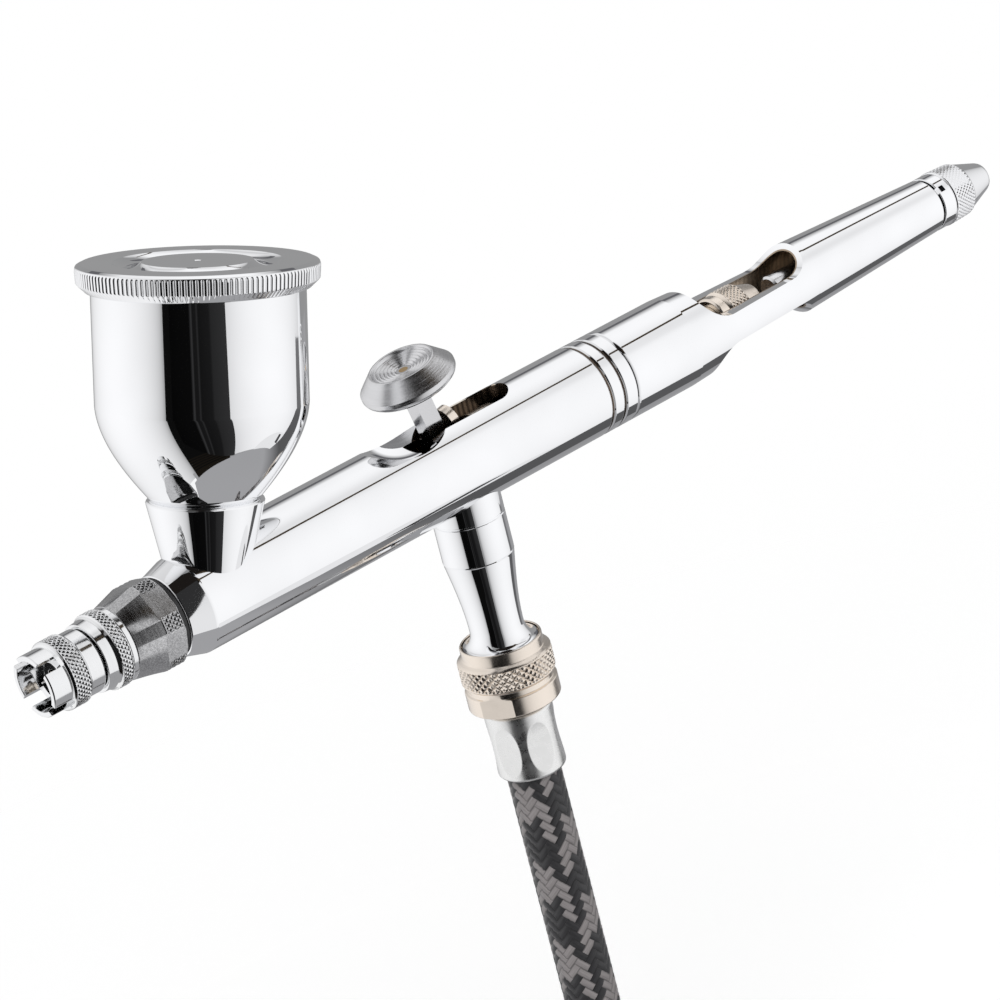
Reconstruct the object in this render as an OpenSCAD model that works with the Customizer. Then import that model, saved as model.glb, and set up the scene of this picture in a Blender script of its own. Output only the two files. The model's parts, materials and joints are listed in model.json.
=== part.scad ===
// Gravity-feed, double-action airbrush with its braided air hose. Millimetres.
// The body axis lies along X with the nose towards -X; the cup and trigger are on the +Z side.
// The origin is on the body axis, at the middle of the plain grip at the front of the handle.

/* [Barrel] */
// Outer diameter of the barrel and of the handle's grip
body_d = 12.7; // [12:0.1:13.6]
// Length of the barrel from its front face to the handle
barrel_len = 74.4; // [70:0.5:80]
// Diameter of the barrel's front face
nose_d = 11.0; // [10.4:0.1:11.8]
// Length of the cone behind the barrel's front face
nose_cone = 3.3; // [2:0.1:4]
// Diameter of the bore that holds the needle guide and the spring case
chamber_d = 9.2; // [8.8:0.1:9.4]
// Length of that bore, from the handle's face forwards
chamber_len = 32.4; // [31:0.2:34]
// Spacing of the lines turned at the rear of the barrel
groove_pitch = 2.2; // [1.6:0.1:3]
// Width of each turned line
groove_w = 0.4; // [0.2:0.1:0.8]
// Depth of each turned line
groove_depth = 0.12; // [0.06:0.02:0.3]
// Width of the trigger slot
slot_w = 5.6; // [5.2:0.1:6.2]
// Length of the trigger slot
slot_len = 15.6; // [14:0.2:17]
// Radius of the ball that cuts the thumb dish
dish_r = 8.0; // [7.6:0.1:8.3]
// Height of that ball's centre over the body axis
dish_h = 11.4; // [11.2:0.1:12]
// Distance from the valve axis forwards to the dish's centre
dish_ahead = 7.0; // [6.4:0.1:8]

/* [Spray head] */
// Thickness of the ring between the head and the barrel
seal_t = 0.8; // [0.5:0.1:1.2]
// Length of the head in front of that ring
head_len = 6.8; // [6:0.1:8]
// Diameter of the head's front edge
head_front_d = 9.7; // [9.4:0.1:10.4]
// Diameter of the head's rear band
head_d = 12.0; // [11.6:0.1:12.4]
// Length of the rear band
head_band = 2.8; // [2:0.1:3.4]
// Distance across the wrench flats
head_flats = 11.1; // [10.8:0.1:11.5]
// Length of the air cap's outside
cap_len = 4.2; // [3.6:0.1:5]
// Diameter of the air cap
cap_d = 9.3; // [9:0.1:9.6]
// Diameter of the air cap's knurled ring
cap_ring_d = 10.0; // [9.7:0.1:10.4]
// Length of the air cap's knurled ring
cap_ring_len = 1.8; // [1.2:0.1:2.2]
// Length of the needle cap
crown_len = 7.8; // [7.2:0.1:9]
// Diameter of the needle cap's rear
crown_d = 8.3; // [8.1:0.1:8.8]
// Diameter of the needle cap's slotted front
crown_front_d = 8.0; // [7.8:0.1:8.2]
// Diameter of the needle cap's knurled ring
crown_ring_d = 9.0; // [8.7:0.1:9.4]
// Length of the needle cap's knurled ring
crown_ring_len = 2.2; // [1.6:0.1:2.8]
// Inner diameter of the needle cap
crown_bore_d = 6.6; // [6.5:0.05:6.8]
// Width of the four slots
crown_slot_w = 1.6; // [1:0.1:2.2]
// Depth of the four slots
crown_slot_depth = 2.8; // [2:0.1:3]
// Diameter of the needle
needle_d = 1.2; // [1:0.05:1.3]
// Distance from the needle cap's front back to the needle's tip
needle_back = 1.2; // [0.6:0.1:1.6]
// Length of the needle's point
needle_point = 4.6; // [4:0.1:5]

/* [Cup] */
// Outer diameter of the cup
cup_d = 25.9; // [24:0.1:26.8]
// Wall thickness of the cup
cup_wall = 0.8; // [0.6:0.05:1.2]
// Tilt of the cup towards the tail, in degrees
cup_tilt = 16.1; // [10:0.1:18]
// Distance from the barrel's front face to where the cup axis meets the body axis
cup_set = 7.0; // [6.6:0.1:9]
// Height of the cup's rim, along the cup axis from the body axis
cup_rim_h = 39.2; // [34:0.2:46]
// Height where the bowl turns into the straight wall
cup_shoulder_h = 23.5; // [21:0.1:26]
// Height of the cup's foot, where it sits on the boss
cup_foot_h = 12.1; // [11.6:0.1:12.8]
// Diameter of the cup's foot
cup_foot_d = 13.9; // [13:0.1:14.6]
// Diameter of the hole that feeds the paint
feed_d = 4.8; // [4:0.1:5]
// Diameter of the boss under the cup
cup_boss_d = 14.5; // [13.8:0.1:15.4]
// Diameter of the boss where it runs into the barrel
cup_boss_low_d = 11.4; // [10.6:0.1:12]
// Outer diameter of the lid
lid_d = 29.5; // [29:0.1:32]
// Height of the lid's edge
lid_edge = 3.4; // [2.8:0.1:4.5]
// Thickness of the lid's plate
lid_t = 1.3; // [1:0.05:1.8]
// Middle diameter of the trough turned in the lid
lid_trough_d = 17.0; // [14:0.2:19]
// Radius of that trough's section
lid_trough_r = 2.3; // [1.6:0.1:2.6]
// Depth of that trough
lid_trough_depth = 0.8; // [0.4:0.05:0.9]
// Diameter of the lid's vent
lid_vent_d = 0.8; // [0.5:0.1:1.5]

/* [Trigger] */
// Distance from the handle's face forwards to the valve axis
valve_ahead = 26.8; // [26:0.1:27.6]
// Depth of the trigger's pivot under the body axis
pivot_depth = 5.2; // [5:0.05:5.4]
// Forward lean of the trigger at rest, in degrees
trigger_lean = 12; // [10:0.5:13]
// Length of the trigger from its pivot to the button's rim
trigger_len = 18.6; // [17.6:0.1:20]
// Thickness of the trigger stem along the body
stem_t = 2.5; // [2.2:0.1:2.6]
// Width of the trigger stem where it shows
stem_w = 2.4; // [2.2:0.1:2.8]
// Width of the trigger stem round the needle
fork_w = 3.6; // [3.4:0.1:3.7]
// Diameter of the trigger pin
pin_d = 1.5; // [1.2:0.05:1.6]
// Diameter of the button at its rim
button_d = 12.8; // [11.5:0.1:14]
// Diameter of the button's dished top
button_top_d = 8.8; // [8:0.1:10]
// Height of the button's cone over the rim
button_cone = 2.3; // [1.6:0.1:3]
// Depth of the dish in the button's top
button_dish = 0.9; // [0.5:0.05:1.2]
// Thickness of the auxiliary lever
lever_t = 1.2; // [1:0.05:1.3]
// Width of the auxiliary lever
lever_w = 3.6; // [3.2:0.1:3.8]
// Height of the auxiliary lever over its pivot
lever_up = 7.5; // [6.8:0.1:8.2]
// Length of the auxiliary lever under its pivot
lever_down = 3.6; // [3:0.1:3.7]
// Distance from the stem to the lever's pivot, along the body axis
lever_back = 2.75; // [2.7:0.05:3]

/* [Needle guide and handle] */
// Diameter of the needle guide's tube
guide_d = 4.4; // [4.2:0.1:4.6]
// Length of the guide's collar
collar_len = 4.0; // [3:0.1:4.6]
// Length of the needle spring
spring_len = 28.0; // [26:0.2:29]
// Wire of the needle spring
spring_wire = 0.7; // [0.5:0.05:0.8]
// Number of turns of the needle spring
spring_turns = 11; // [8:1:14]
// Wall thickness of the spring case
case_wall = 0.65; // [0.5:0.05:0.8]
// Length of the plain grip at the front of the handle
grip_len = 12.0; // [10:0.2:13]
// Length of the handle
handle_len = 62.6; // [60:0.2:68]
// Diameter of the handle behind its window
waist_d = 10.06; // [9.6:0.02:10.6]
// Diameter of the handle's end
handle_end_d = 7.86; // [7.4:0.02:8.4]
// Inner diameter of the handle at its window
window_bore_d = 8.2; // [8:0.1:8.6]
// Radius of the cutter that opens the window
window_r = 4.45; // [4.2:0.05:4.6]
// Distance between the cutter's first and last place
window_run = 12.0; // [11:0.1:13]
// Height of the two rails that the window leaves
rail_h = 3.94; // [3:0.02:4.6]
// Length of the chuck nut
chuck_len = 8.2; // [7.6:0.1:8.6]
// Diameter of the chuck nut's knurled band
chuck_d = 6.9; // [6.4:0.1:7.2]
// Diameter of the preset stop rod
rod_d = 3.8; // [3:0.1:4]
// Length of the preset knob
knob_len = 11.6; // [10.6:0.1:13]
// Diameter of the preset knob's knurled band
knob_d = 8.1; // [7.9:0.1:8.6]
// Diameter of the preset knob's tip
knob_tip_d = 4.2; // [4:0.1:5]

/* [Air valve] */
// Diameter of the valve boss under the barrel
valve_d = 9.5; // [9.2:0.1:10]
// Depth of the valve boss under the body axis
valve_boss_h = 13.2; // [12.8:0.1:14]
// Length of the flare between the valve body's neck and its flange
flare_len = 2.2; // [1.6:0.1:2.8]
// Diameter of the valve body's neck
neck_d = 7.2; // [6.9:0.1:7.6]
// Diameter of the valve body's flange
flange_d = 10.1; // [9.9:0.05:10.2]
// Depth of the flange's edge under the body axis
flange_h = 25.6; // [25.2:0.1:26]
// Outer diameter of the valve body's thread
thread_d = 9.72; // [9.6:0.02:9.74]
// Diameter of the plunger's head
plunger_d = 6.0; // [5.8:0.1:6.2]
// Travel of the valve
valve_travel = 2.0; // [1.2:0.1:2.2]
// Wire of the valve spring
valve_wire = 0.4; // [0.3:0.02:0.45]
// Number of turns of the valve spring
valve_turns = 5; // [4:1:5]

/* [Air hose] */
// Outer diameter of the hose
hose_d = 7.4; // [7:0.1:7.5]
// Outer diameter of the ferrule
ferrule_d = 9.2; // [8.8:0.1:9.8]
// Length of the ferrule
ferrule_len = 9.4; // [9:0.1:10.6]
// Diameter of the hose nut's knurled band
nut_d = 12.6; // [12.5:0.1:13.4]
// Length of the hose nut
nut_len = 9.4; // [9.2:0.1:10.4]
// Least gap between neighbouring turns of the coil
coil_gap = 0.55; // [0.45:0.05:1]
// Radius of the coil's innermost turn
coil_inner_r = 31; // [30:0.5:34]

/* [Hidden] */
$fn = 96;

// Clearances, radial or face to face
fit = 0.03;
run = 0.05;
gap = 0.3;
over = 1;

// Places along the body axis
body_r = body_d / 2;
joint_x = -grip_len / 2;
front_x = joint_x - barrel_len;
head_x = front_x - seal_t;
cap_x = head_x - head_len;
crown_x = cap_x - cap_len;
tip_x = crown_x - crown_len;
cup_x = front_x + cup_set;
valve_x = joint_x - valve_ahead;
chamber_x = joint_x - chamber_len;
chamber_r = chamber_d / 2;
handle_end_x = joint_x + handle_len;

// Needle and what it runs through
needle_r = needle_d / 2;
needle_tip_x = tip_x + needle_back;
needle_tip_r = 0.08;
needle_bore_r = needle_r + run;
nozzle_tip_x = needle_tip_x + 0.9;
nozzle_tip_r = 0.55;
nozzle_hole_r = 0.3;
nozzle_base_r = 1.95;
nozzle_flange_r = 2.6;
nozzle_flange_t = 0.8;
spigot_r = 3.6;
spigot_x = cap_x - 2.9;
cap_nose_r = crown_bore_d / 2 - fit;
cap_nose_x = nozzle_tip_x + 0.8;
cap_hole_r = 0.95;
head_spigot_r = 4.2;
head_spigot_len = 2.2;
front_socket_len = 3.8;
tail_tube_r = 1.95;
paint_bore_r = tail_tube_r + fit;
air_hole_r = 0.45;
air_hole_at = 2.9;
packing_x = cup_x + 6.1;
packing_len = 2.5;
packing_r = 2.3;
screw_r = 2.6;
screw_len = 7.5;
channel_r = 0.45;
channel_z = -5.45;

// Trigger, lever and guide
pivot = [valve_x, 0, -pivot_depth];
stem_at_axis = pivot_depth * tan(trigger_lean);
lever_x = valve_x - stem_at_axis + lever_back;
pull = 26.7;
needle_travel = 2.4;
collar_x = lever_x + 2.4;
ear_t = 0.9;
ear_r = 1.3;
trunnion_r = 0.6;
fork_low = 2.0;
fork_top = 9.8;
needle_slot_low = 3.6;
needle_slot_top = 8.9;
tongue_t = 2.0;
tongue_r = 1.6;
button_low = trigger_len - 2.75;
rivet_r = 1.0;
slot_x = valve_x - 5.2;

// Spring case and window
case_x = collar_x + collar_len + needle_travel + 0.9;
case_r = chamber_r - run;
case_end_x = collar_x + collar_len + spring_len + 1.2;
case_floor = 1.0;
guide_r = guide_d / 2;
coil_r = (case_r - case_wall - gap - spring_wire / 2);
window_x = grip_len / 2 + 7.65;
window_z = rail_h / 2 + window_r;
waist_x = window_x + window_run + window_r;
socket_r = chamber_r + 0.7;
socket_len = 5.0;
chuck_x = window_x + 0.2;
chuck_grip = 4.4;
rod_gap = needle_travel + 0.8;
rod_x = chuck_x + chuck_len + rod_gap;
rod_r = rod_d / 2;
rod_bore_x = waist_x + 7;
rod_end_x = handle_end_x + 7;
rod_ring_x = (rod_bore_x + handle_end_x) / 2;
rod_ring_w = 1.4;
rod_ring_r = rod_r + 1.0;
knob_x = handle_end_x + 0.4;

// Valve, along its axis, as depths under the body axis; its lower pieces follow the valve body's end
head_top = pivot_depth - 1.2;
head_low = pivot_depth + 2.2;
spigot_top = head_low + valve_travel + 1.2;
packing_depth = 1.6;
neck_h = flange_h - flare_len;
nut_top = flange_h - 0.2;
thread_len = 6.6;
body_end = nut_top + thread_len;
rod_valve_r = 1.2;
seat_r = 1.7;
gallery_r = 2.2;
lower_r = neck_d / 2 - 0.7;
screw_t = 2.6;
screw_low = body_end - 0.4;
screw_top = screw_low - screw_t;
valve_spring_len = 5.2;
disc_t = 1.5;
disc_r = lower_r - 0.6;
disc_low = screw_top - valve_spring_len;
disc_top = disc_low - disc_t;
seal_thick = 0.25;
seat_low = disc_top - seal_thick - run;
seat_top = seat_low - 1.0;
guide_low = seat_top - 5.0;
plunger_tail_r = 1.0;
plunger_tail = 1.7;

// Hose fittings, as depths under the nut's mouth
washer_t = 0.5;
mouth_h = 1.1;
mouth_room = 0.3;
relief_top = thread_len - 0.2;
relief = 0.3;
collar_top = thread_len + washer_t;
collar_low = collar_top + 0.75;
nut_floor = collar_low + run;
thread_r = thread_d / 2 + run;
stem_r = 2.95;
ferrule_top = nut_len + 0.2;
hose_top = ferrule_top + 2.1;
ferrule_low = ferrule_top + ferrule_len;
barb_r = 2.1;
air_r = 1.3;
hose_r = hose_d / 2;

// Hose route: straight down, a quarter turn, and then the coil on the floor
hose_sides = 12;
hose_floor = -144;
heading = -110;
bend_r = 30;
low_z = hose_floor + hose_r;
coil_pitch = hose_d + coil_gap;
top_z = low_z + coil_pitch;
coil_turns = 6;
coil_steps = 24;
coil_outer_r = coil_inner_r + coil_pitch * coil_turns / 2;
ahead = [cos(heading), sin(heading), 0];
beside = [-sin(heading), cos(heading), 0];
coil_start = [valve_x, 0, 0] + bend_r * ahead;
coil_centre = coil_start + coil_outer_r * beside;
end_route = [[0, 0], [7.4, 0], [14, 0.3], [23, 1.5], [31, 2.5], [38, 2.6], [48, 2.6]];
end_last = end_route[len(end_route) - 1];
far_mouth = end_last[0] + hose_top;
tie_angle = heading + 90;
tie_w = 12;
tie_t = 1.0;
tie_room = 1.6;
tie_rest = 0.3;

// Colours
chrome = "silver";
nickel = "tan";
satin = "gainsboro";
black = "dimgray";
seal_white = "white";

// Revolve a list of [x, r] points about the body axis
module lathe_x(profile) {
    rotate([0, 90, 0]) rotate_extrude() polygon([for (p = profile) [p[1], p[0]]]);
}

// Revolve a list of [depth, r] points about the valve axis
module lathe_down(profile) {
    translate([valve_x, 0, 0]) rotate_extrude() polygon([for (p = profile) [p[1], -p[0]]]);
}

// Round bar along the body axis
module bar_x(from, to, r) {
    translate([from, 0, 0]) rotate([0, 90, 0]) cylinder(h = to - from, r = r);
}

// Round bar along the valve axis, between two depths
module bar_down(from, to, r) {
    translate([valve_x, 0, -to]) cylinder(h = to - from, r = r);
}

// Round bar across the body, centred on it
module bar_y(length, r) {
    rotate([90, 0, 0]) cylinder(h = length, r = r, center = true);
}

// Block centred across the body, between two heights
module block(along, across, low, high) {
    translate([-along / 2, -across / 2, low]) cube([along, across, high - low]);
}

// The cup's own frame: its axis is Z, from the body axis upwards
module on_cup() {
    translate([cup_x, 0, 0]) rotate([0, cup_tilt, 0]) children();
}

// The trigger's own frame: its pivot is the origin and its stem runs up Z
module on_trigger() {
    translate(pivot) rotate([0, -trigger_lean, 0]) children();
}

// Fittings at the hose's near end hang under the valve
module on_valve() {
    translate([valve_x, 0, -nut_top]) children();
}

// Fittings at the hose's far end lie beside the coil, mouth outwards
module on_far_end() {
    place = coil_start + far_mouth * ahead + [0, 0, low_z + end_last[1]];
    translate(place) rotate([0, 0, heading]) rotate([0, 90, 0]) children();
}

// Point on a cubic curve
function curve(a, b, c, d, t) =
    pow(1 - t, 3) * a + 3 * t * pow(1 - t, 2) * b + 3 * t * t * (1 - t) * c + pow(t, 3) * d;

// Least distance between turns of a wound tube, measured between points half a turn or more apart
function turn_gap(path, apart, d) =
    min([for (i = [0 : len(path) - 1]) for (j = [i + apart : 1 : len(path) - 1])
        norm(path[i] - path[j])]) - d;

// Unit vector along a path at one of its points
function heading_at(path, i) =
    let (a = path[max(i - 1, 0)], b = path[min(i + 1, len(path) - 1)]) (b - a) / norm(b - a);

// Tube swept along a path; side points from the path towards the first corner of each ring,
// and ends gives the directions that the tube's two end faces look along
module sweep(path, side, r, sides, ends) {
    last = len(path) - 1;
    points = [for (i = [0 : last])
        let (t = i == 0 ? ends[0] : i == last ? ends[1] : heading_at(path, i), s = side[i], u = cross(t, s))
        for (k = [0 : sides - 1])
            path[i] + r * (cos(360 * k / sides) * s + sin(360 * k / sides) * u)];
    walls = [for (i = [0 : last - 1]) for (k = [0 : sides - 1])
        let (n = (k + 1) % sides, a = i * sides, b = a + sides)
        each [[a + k, b + k, b + n], [a + k, b + n, a + n]]];
    end = last * sides;
    first_face = [for (k = [1 : sides - 2]) [0, k, k + 1]];
    last_face = [for (k = [1 : sides - 2]) [end, end + k + 1, end + k]];
    polyhedron(points, concat(walls, first_face, last_face));
}

// Helix about an axis through the origin along Z
function helix(length, r, turns, steps) =
    [for (i = [0 : turns * steps])
        [r * cos(360 * i / steps), r * sin(360 * i / steps), length * i / (turns * steps)]];

// Helical spring between z = 0 and z = length
module spring(length, r, wire, turns) {
    path = helix(length - 2 * wire, r, turns, 8);
    side = [for (i = [0 : len(path) - 1])
        let (s = cross([0, 0, 1], heading_at(path, i))) s / norm(s)];
    echo("least gap between spring turns", turn_gap(path, 4, wire));
    ends = [heading_at(path, 0), heading_at(path, len(path) - 1)];
    translate([0, 0, wire]) sweep(path, side, wire / 2, 6, ends);
}

module barrel() {
    boss_low = 1;
    color(chrome) difference() {
        union() {
            lathe_x([[front_x, 0], [front_x, nose_d / 2], [front_x + nose_cone, body_r],
                [joint_x, body_r], [joint_x, 0]]);
            bar_down(0, valve_boss_h, valve_d / 2);
            on_cup() rotate_extrude() polygon([[0, boss_low], [cup_boss_low_d / 2 - 0.7, boss_low],
                [cup_boss_d / 2, cup_foot_h - 0.6], [cup_boss_d / 2 - 0.25, cup_foot_h - 0.25],
                [0, cup_foot_h - 0.25]]);
        }
        bar_x(front_x - over, front_x + front_socket_len, head_spigot_r + fit);
        bar_x(front_x, packing_x + over, paint_bore_r);
        bar_x(packing_x, packing_x + packing_len, packing_r + fit);
        bar_x(packing_x + packing_len, chamber_x + over, screw_r + fit);
        bar_x(chamber_x, joint_x + over, chamber_r);
        bar_x(joint_x - socket_len, joint_x + over, socket_r + fit);
        air_way();
        on_cup() cylinder(h = cup_foot_h, r = feed_d / 2);
        on_cup() translate([0, 0, cup_foot_h - 4.5]) cylinder(h = 4.5 + over, r = feed_d / 2 + 2.2);
        bar_down(2.5, spigot_top, plunger_d / 2 + run);
        bar_down(spigot_top, valve_boss_h + over, valve_d / 2 - 1.1 + fit);
        trigger_slot();
        translate([valve_x - dish_ahead, 0, dish_h]) sphere(r = dish_r);
        for (line = [1, 2]) turned_line(joint_x - line * groove_pitch);
        valve_line();
    }
}

// Air way from the valve to the socket behind the head
module air_way() {
    end_x = front_x + front_socket_len - 1.0;
    translate([0, 0, channel_z]) bar_x(end_x, valve_x, channel_r);
    translate([end_x, 0, channel_z]) cylinder(h = 2, r = channel_r);
}

module trigger_slot() {
    r = slot_w / 2;
    for (x = [slot_x + r, slot_x + slot_len - r]) translate([x, 0, r]) cylinder(h = body_r, r = r);
    translate([slot_x + r, -r, r]) cube([slot_len - 2 * r, slot_w, body_r]);
}

// Line turned round the barrel
module turned_line(x) {
    lathe_x([[x - groove_w / 2, body_r - groove_depth], [x + groove_w / 2, body_r - groove_depth],
        [x + groove_w / 2, body_r + over], [x - groove_w / 2, body_r + over]]);
}

// Line turned round the valve boss
module valve_line() {
    h = 7.7;
    lathe_down([[h, valve_d / 2 - groove_depth], [h + groove_w / 2, valve_d / 2 - groove_depth],
        [h + groove_w / 2, valve_d / 2 + 0.2], [h, valve_d / 2 + 0.2]]);
}

module head() {
    color(chrome) difference() {
        union() {
            lathe_x([[cap_x, 0], [cap_x, head_front_d / 2], [head_x - head_band - 0.2, head_d / 2 - 0.05],
                [head_x - head_band, head_d / 2], [head_x - 0.3, head_d / 2], [head_x, head_d / 2 - 0.3],
                [head_x, 0]]);
            bar_x(head_x - over, front_x + head_spigot_len, head_spigot_r);
            bar_x(head_x - over, front_x + front_socket_len + 0.5, tail_tube_r);
            bar_x(spigot_x, cap_x + over, spigot_r);
        }
        bar_x(spigot_x - over, front_x + 8, needle_r + 0.6);
        bar_x(spigot_x - over, spigot_x + 5.2, nozzle_base_r + fit);
        for (k = [0 : 3]) rotate([45 + 90 * k, 0, 0]) translate([0, 0, air_hole_at])
            bar_x(spigot_x - over, front_x + head_spigot_len + over, air_hole_r);
        for (k = [0 : 5]) rotate([30 + 60 * k, 0, 0])
            translate([head_x - head_band - 2.5, -head_d, head_flats / 2])
            cube([head_band + 2.5 + over, 2 * head_d, head_d]);
    }
}

module head_seal() {
    r = nose_d / 2 - 0.15;
    color(black) lathe_x([[head_x, head_spigot_r + fit], [head_x, r - 0.25], [head_x + 0.2, r],
        [front_x - 0.2, r], [front_x, r - 0.25], [front_x, head_spigot_r + fit]]);
}

module air_cap() {
    ring_x = cap_x - 0.7;
    slope_x = ring_x - cap_ring_len;
    color(chrome) difference() {
        lathe_x([[cap_nose_x, cap_hole_r], [cap_nose_x, 1.9], [crown_x - 2.9, cap_nose_r],
            [crown_x, cap_nose_r], [crown_x, cap_d / 2 - 0.3], [slope_x - 0.5, cap_d / 2],
            [slope_x, cap_ring_d / 2 - 0.2], [slope_x + 0.2, cap_ring_d / 2], [ring_x - 0.2, cap_ring_d / 2],
            [ring_x, cap_ring_d / 2 - 0.2], [ring_x, head_front_d / 2], [cap_x, head_front_d / 2],
            [cap_x, spigot_r + fit], [spigot_x - run, spigot_r + fit], [spigot_x - 1.0, 2.75]]);
    }
}

module needle_cap() {
    ring_x = tip_x + 3.0;
    ring_end = ring_x + crown_ring_len;
    inner = crown_bore_d / 2;
    color(chrome) difference() {
        lathe_x([[tip_x, inner], [tip_x, crown_front_d / 2 - 0.1], [tip_x + 0.15, crown_front_d / 2],
            [ring_x - 0.35, crown_front_d / 2], [ring_x, crown_ring_d / 2], [ring_end, crown_ring_d / 2],
            [ring_end + 0.3, crown_d / 2], [crown_x - 0.35, crown_d / 2], [crown_x - 0.15, crown_d / 2 - 0.2],
            [crown_x - 0.15, inner]]);
        for (k = [0, 1]) rotate([45 + 90 * k, 0, 0])
            translate([tip_x - over, -crown_slot_w / 2, -crown_d])
            cube([crown_slot_depth + over, crown_slot_w, 2 * crown_d]);
    }
}

module nozzle() {
    base_x = spigot_x + 5.0;
    flange_x = spigot_x - nozzle_flange_t;
    bore = needle_r + 0.6;
    color(nickel) lathe_x([[nozzle_tip_x, nozzle_hole_r], [nozzle_tip_x, nozzle_tip_r], [flange_x, 2.0],
        [flange_x, nozzle_flange_r], [spigot_x, nozzle_flange_r], [spigot_x, nozzle_base_r],
        [base_x, nozzle_base_r], [base_x, bore], [flange_x - 0.5, bore]]);
}

module needle() {
    color(satin) lathe_x([[needle_tip_x, 0], [needle_tip_x, needle_tip_r],
        [needle_tip_x + needle_point, needle_r], [chuck_x + chuck_len - 0.4, needle_r],
        [chuck_x + chuck_len - 0.4, 0]]);
}

module needle_packing() {
    color(seal_white) lathe_x([[packing_x, needle_bore_r], [packing_x, packing_r],
        [packing_x + packing_len, packing_r], [packing_x + packing_len, needle_bore_r]]);
}

module packing_screw() {
    from = packing_x + packing_len;
    color(nickel) difference() {
        lathe_x([[from, needle_bore_r + 0.1], [from, screw_r], [from + screw_len, screw_r],
            [from + screw_len, needle_bore_r + 0.1]]);
        translate([from + screw_len - 1.2, -0.4, -body_r]) cube([1.2 + over, 0.8, body_d]);
    }
}

module cup() {
    low = cup_foot_h + 0.05;
    outer = [for (t = [0 : 1 / 12 : 1])
        curve([cup_foot_d / 2, low], [cup_foot_d / 2 + 2.95, low + 3.45],
            [cup_d / 2 - 0.25, cup_shoulder_h - 3.9], [cup_d / 2, cup_shoulder_h], t)];
    inner = [for (p = outer) [p[0] - cup_wall, p[1] + cup_wall / 2]];
    spigot = feed_d / 2 + 2.2 - fit;
    color(chrome) rotate_cup(concat([[feed_d / 2, cup_foot_h - 4.4], [spigot, cup_foot_h - 4.4],
        [spigot, low - 0.3], [cup_foot_d / 2 - 0.3, low - 0.3]], outer,
        [[cup_d / 2, cup_rim_h], [cup_d / 2 - cup_wall, cup_rim_h]],
        [for (i = [len(inner) - 1 : -1 : 0]) inner[i]], [[feed_d / 2, low + 0.1]]));
}

// Revolve a list of [r, height] points about the cup axis
module rotate_cup(profile) {
    on_cup() rotate_extrude() polygon(profile);
}

module cup_lid() {
    top = cup_rim_h + run + lid_t + 0.2;
    under = cup_rim_h + run;
    low = top - lid_edge;
    inner = cup_d / 2 + run;
    outer = lid_d / 2;
    half = sqrt(2 * lid_trough_r * lid_trough_depth - pow(lid_trough_depth, 2));
    mid = lid_trough_d / 2;
    step = acos((lid_trough_r - lid_trough_depth) / lid_trough_r) / 5;
    trough = [for (k = [5 : -1 : -5])
        [mid + lid_trough_r * sin(k * step), top - lid_trough_depth + lid_trough_r * (1 - cos(k * step))]];
    color(chrome) rotate_cup(concat([[lid_vent_d / 2, under], [mid - half - 0.8, under],
        [mid - half * 0.5, under - 0.5], [mid + half * 0.5, under - 0.5], [mid + half + 0.8, under],
        [inner, under], [inner, low], [inner + 0.7, low + 0.25], [outer, low + 1.5], [outer, top - 0.5],
        [outer - 0.75, top]], trough, [[lid_vent_d / 2, top]]));
}

module trigger_button() {
    rim = trigger_len;
    top = rim + button_cone;
    dish_in = button_top_d / 2 - 0.3;
    color(satin) on_trigger()
        rotate_extrude() polygon([[rivet_r + fit, button_low], [2.1, button_low],
            [button_d / 2 - 0.6, rim - 1.1], [button_d / 2, rim - 0.35], [button_d / 2, rim + 0.2],
            [button_top_d / 2, top], [dish_in, top],
            [dish_in - 0.35, top - button_dish * 0.6], [dish_in - 0.9, top - button_dish * 0.6],
            [dish_in - 1.1, top - button_dish * 0.8], [dish_in - 1.7, top - button_dish * 0.8],
            [dish_in - 1.9, top - button_dish], [rivet_r + fit, top - button_dish]]);
}

module trigger_stem() {
    slot_r = needle_r + 0.2;
    rivet_top = trigger_len + button_cone - button_dish;
    color(satin) on_trigger() difference() {
        union() {
            bar_y(tongue_t, tongue_r);
            block(stem_t, tongue_t, 0, fork_low + 0.2);
            block(stem_t, fork_w, fork_low, fork_top);
            block(stem_t, stem_w, fork_top, button_low);
            translate([0, 0, button_low - over]) cylinder(h = rivet_top - button_low + over, r = rivet_r);
        }
        bar_y(tongue_t + over, pin_d / 2 + run);
        block(stem_t + over, 2 * slot_r, needle_slot_low + slot_r, needle_slot_top - slot_r);
        for (z = [needle_slot_low + slot_r, needle_slot_top - slot_r]) translate([-stem_t, 0, z])
            rotate([0, 90, 0]) cylinder(h = 2 * stem_t, r = slot_r);
    }
}

module trigger_pin() {
    color(satin) translate(pivot) bar_y(plunger_d - 1.0, pin_d / 2);
}

module aux_lever() {
    half = lever_w / 2;
    reach = half + gap + ear_t - 0.1;
    color(chrome) translate([lever_x, 0, 0]) rotate([0, -trigger_lean, 0]) difference() {
        union() {
            rotate([90, 0, 90]) linear_extrude(lever_t, center = true) {
                translate([-half, half - lever_down]) square([lever_w, lever_up + lever_down - lever_w]);
                translate([0, half - lever_down]) circle(r = half);
                translate([0, lever_up - half]) circle(r = half);
            }
            bar_y(2 * reach, trunnion_r);
        }
        translate([-lever_t, 0, 0]) rotate([0, 90, 0]) cylinder(h = 2 * lever_t, r = needle_r + 0.5);
    }
}

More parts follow.
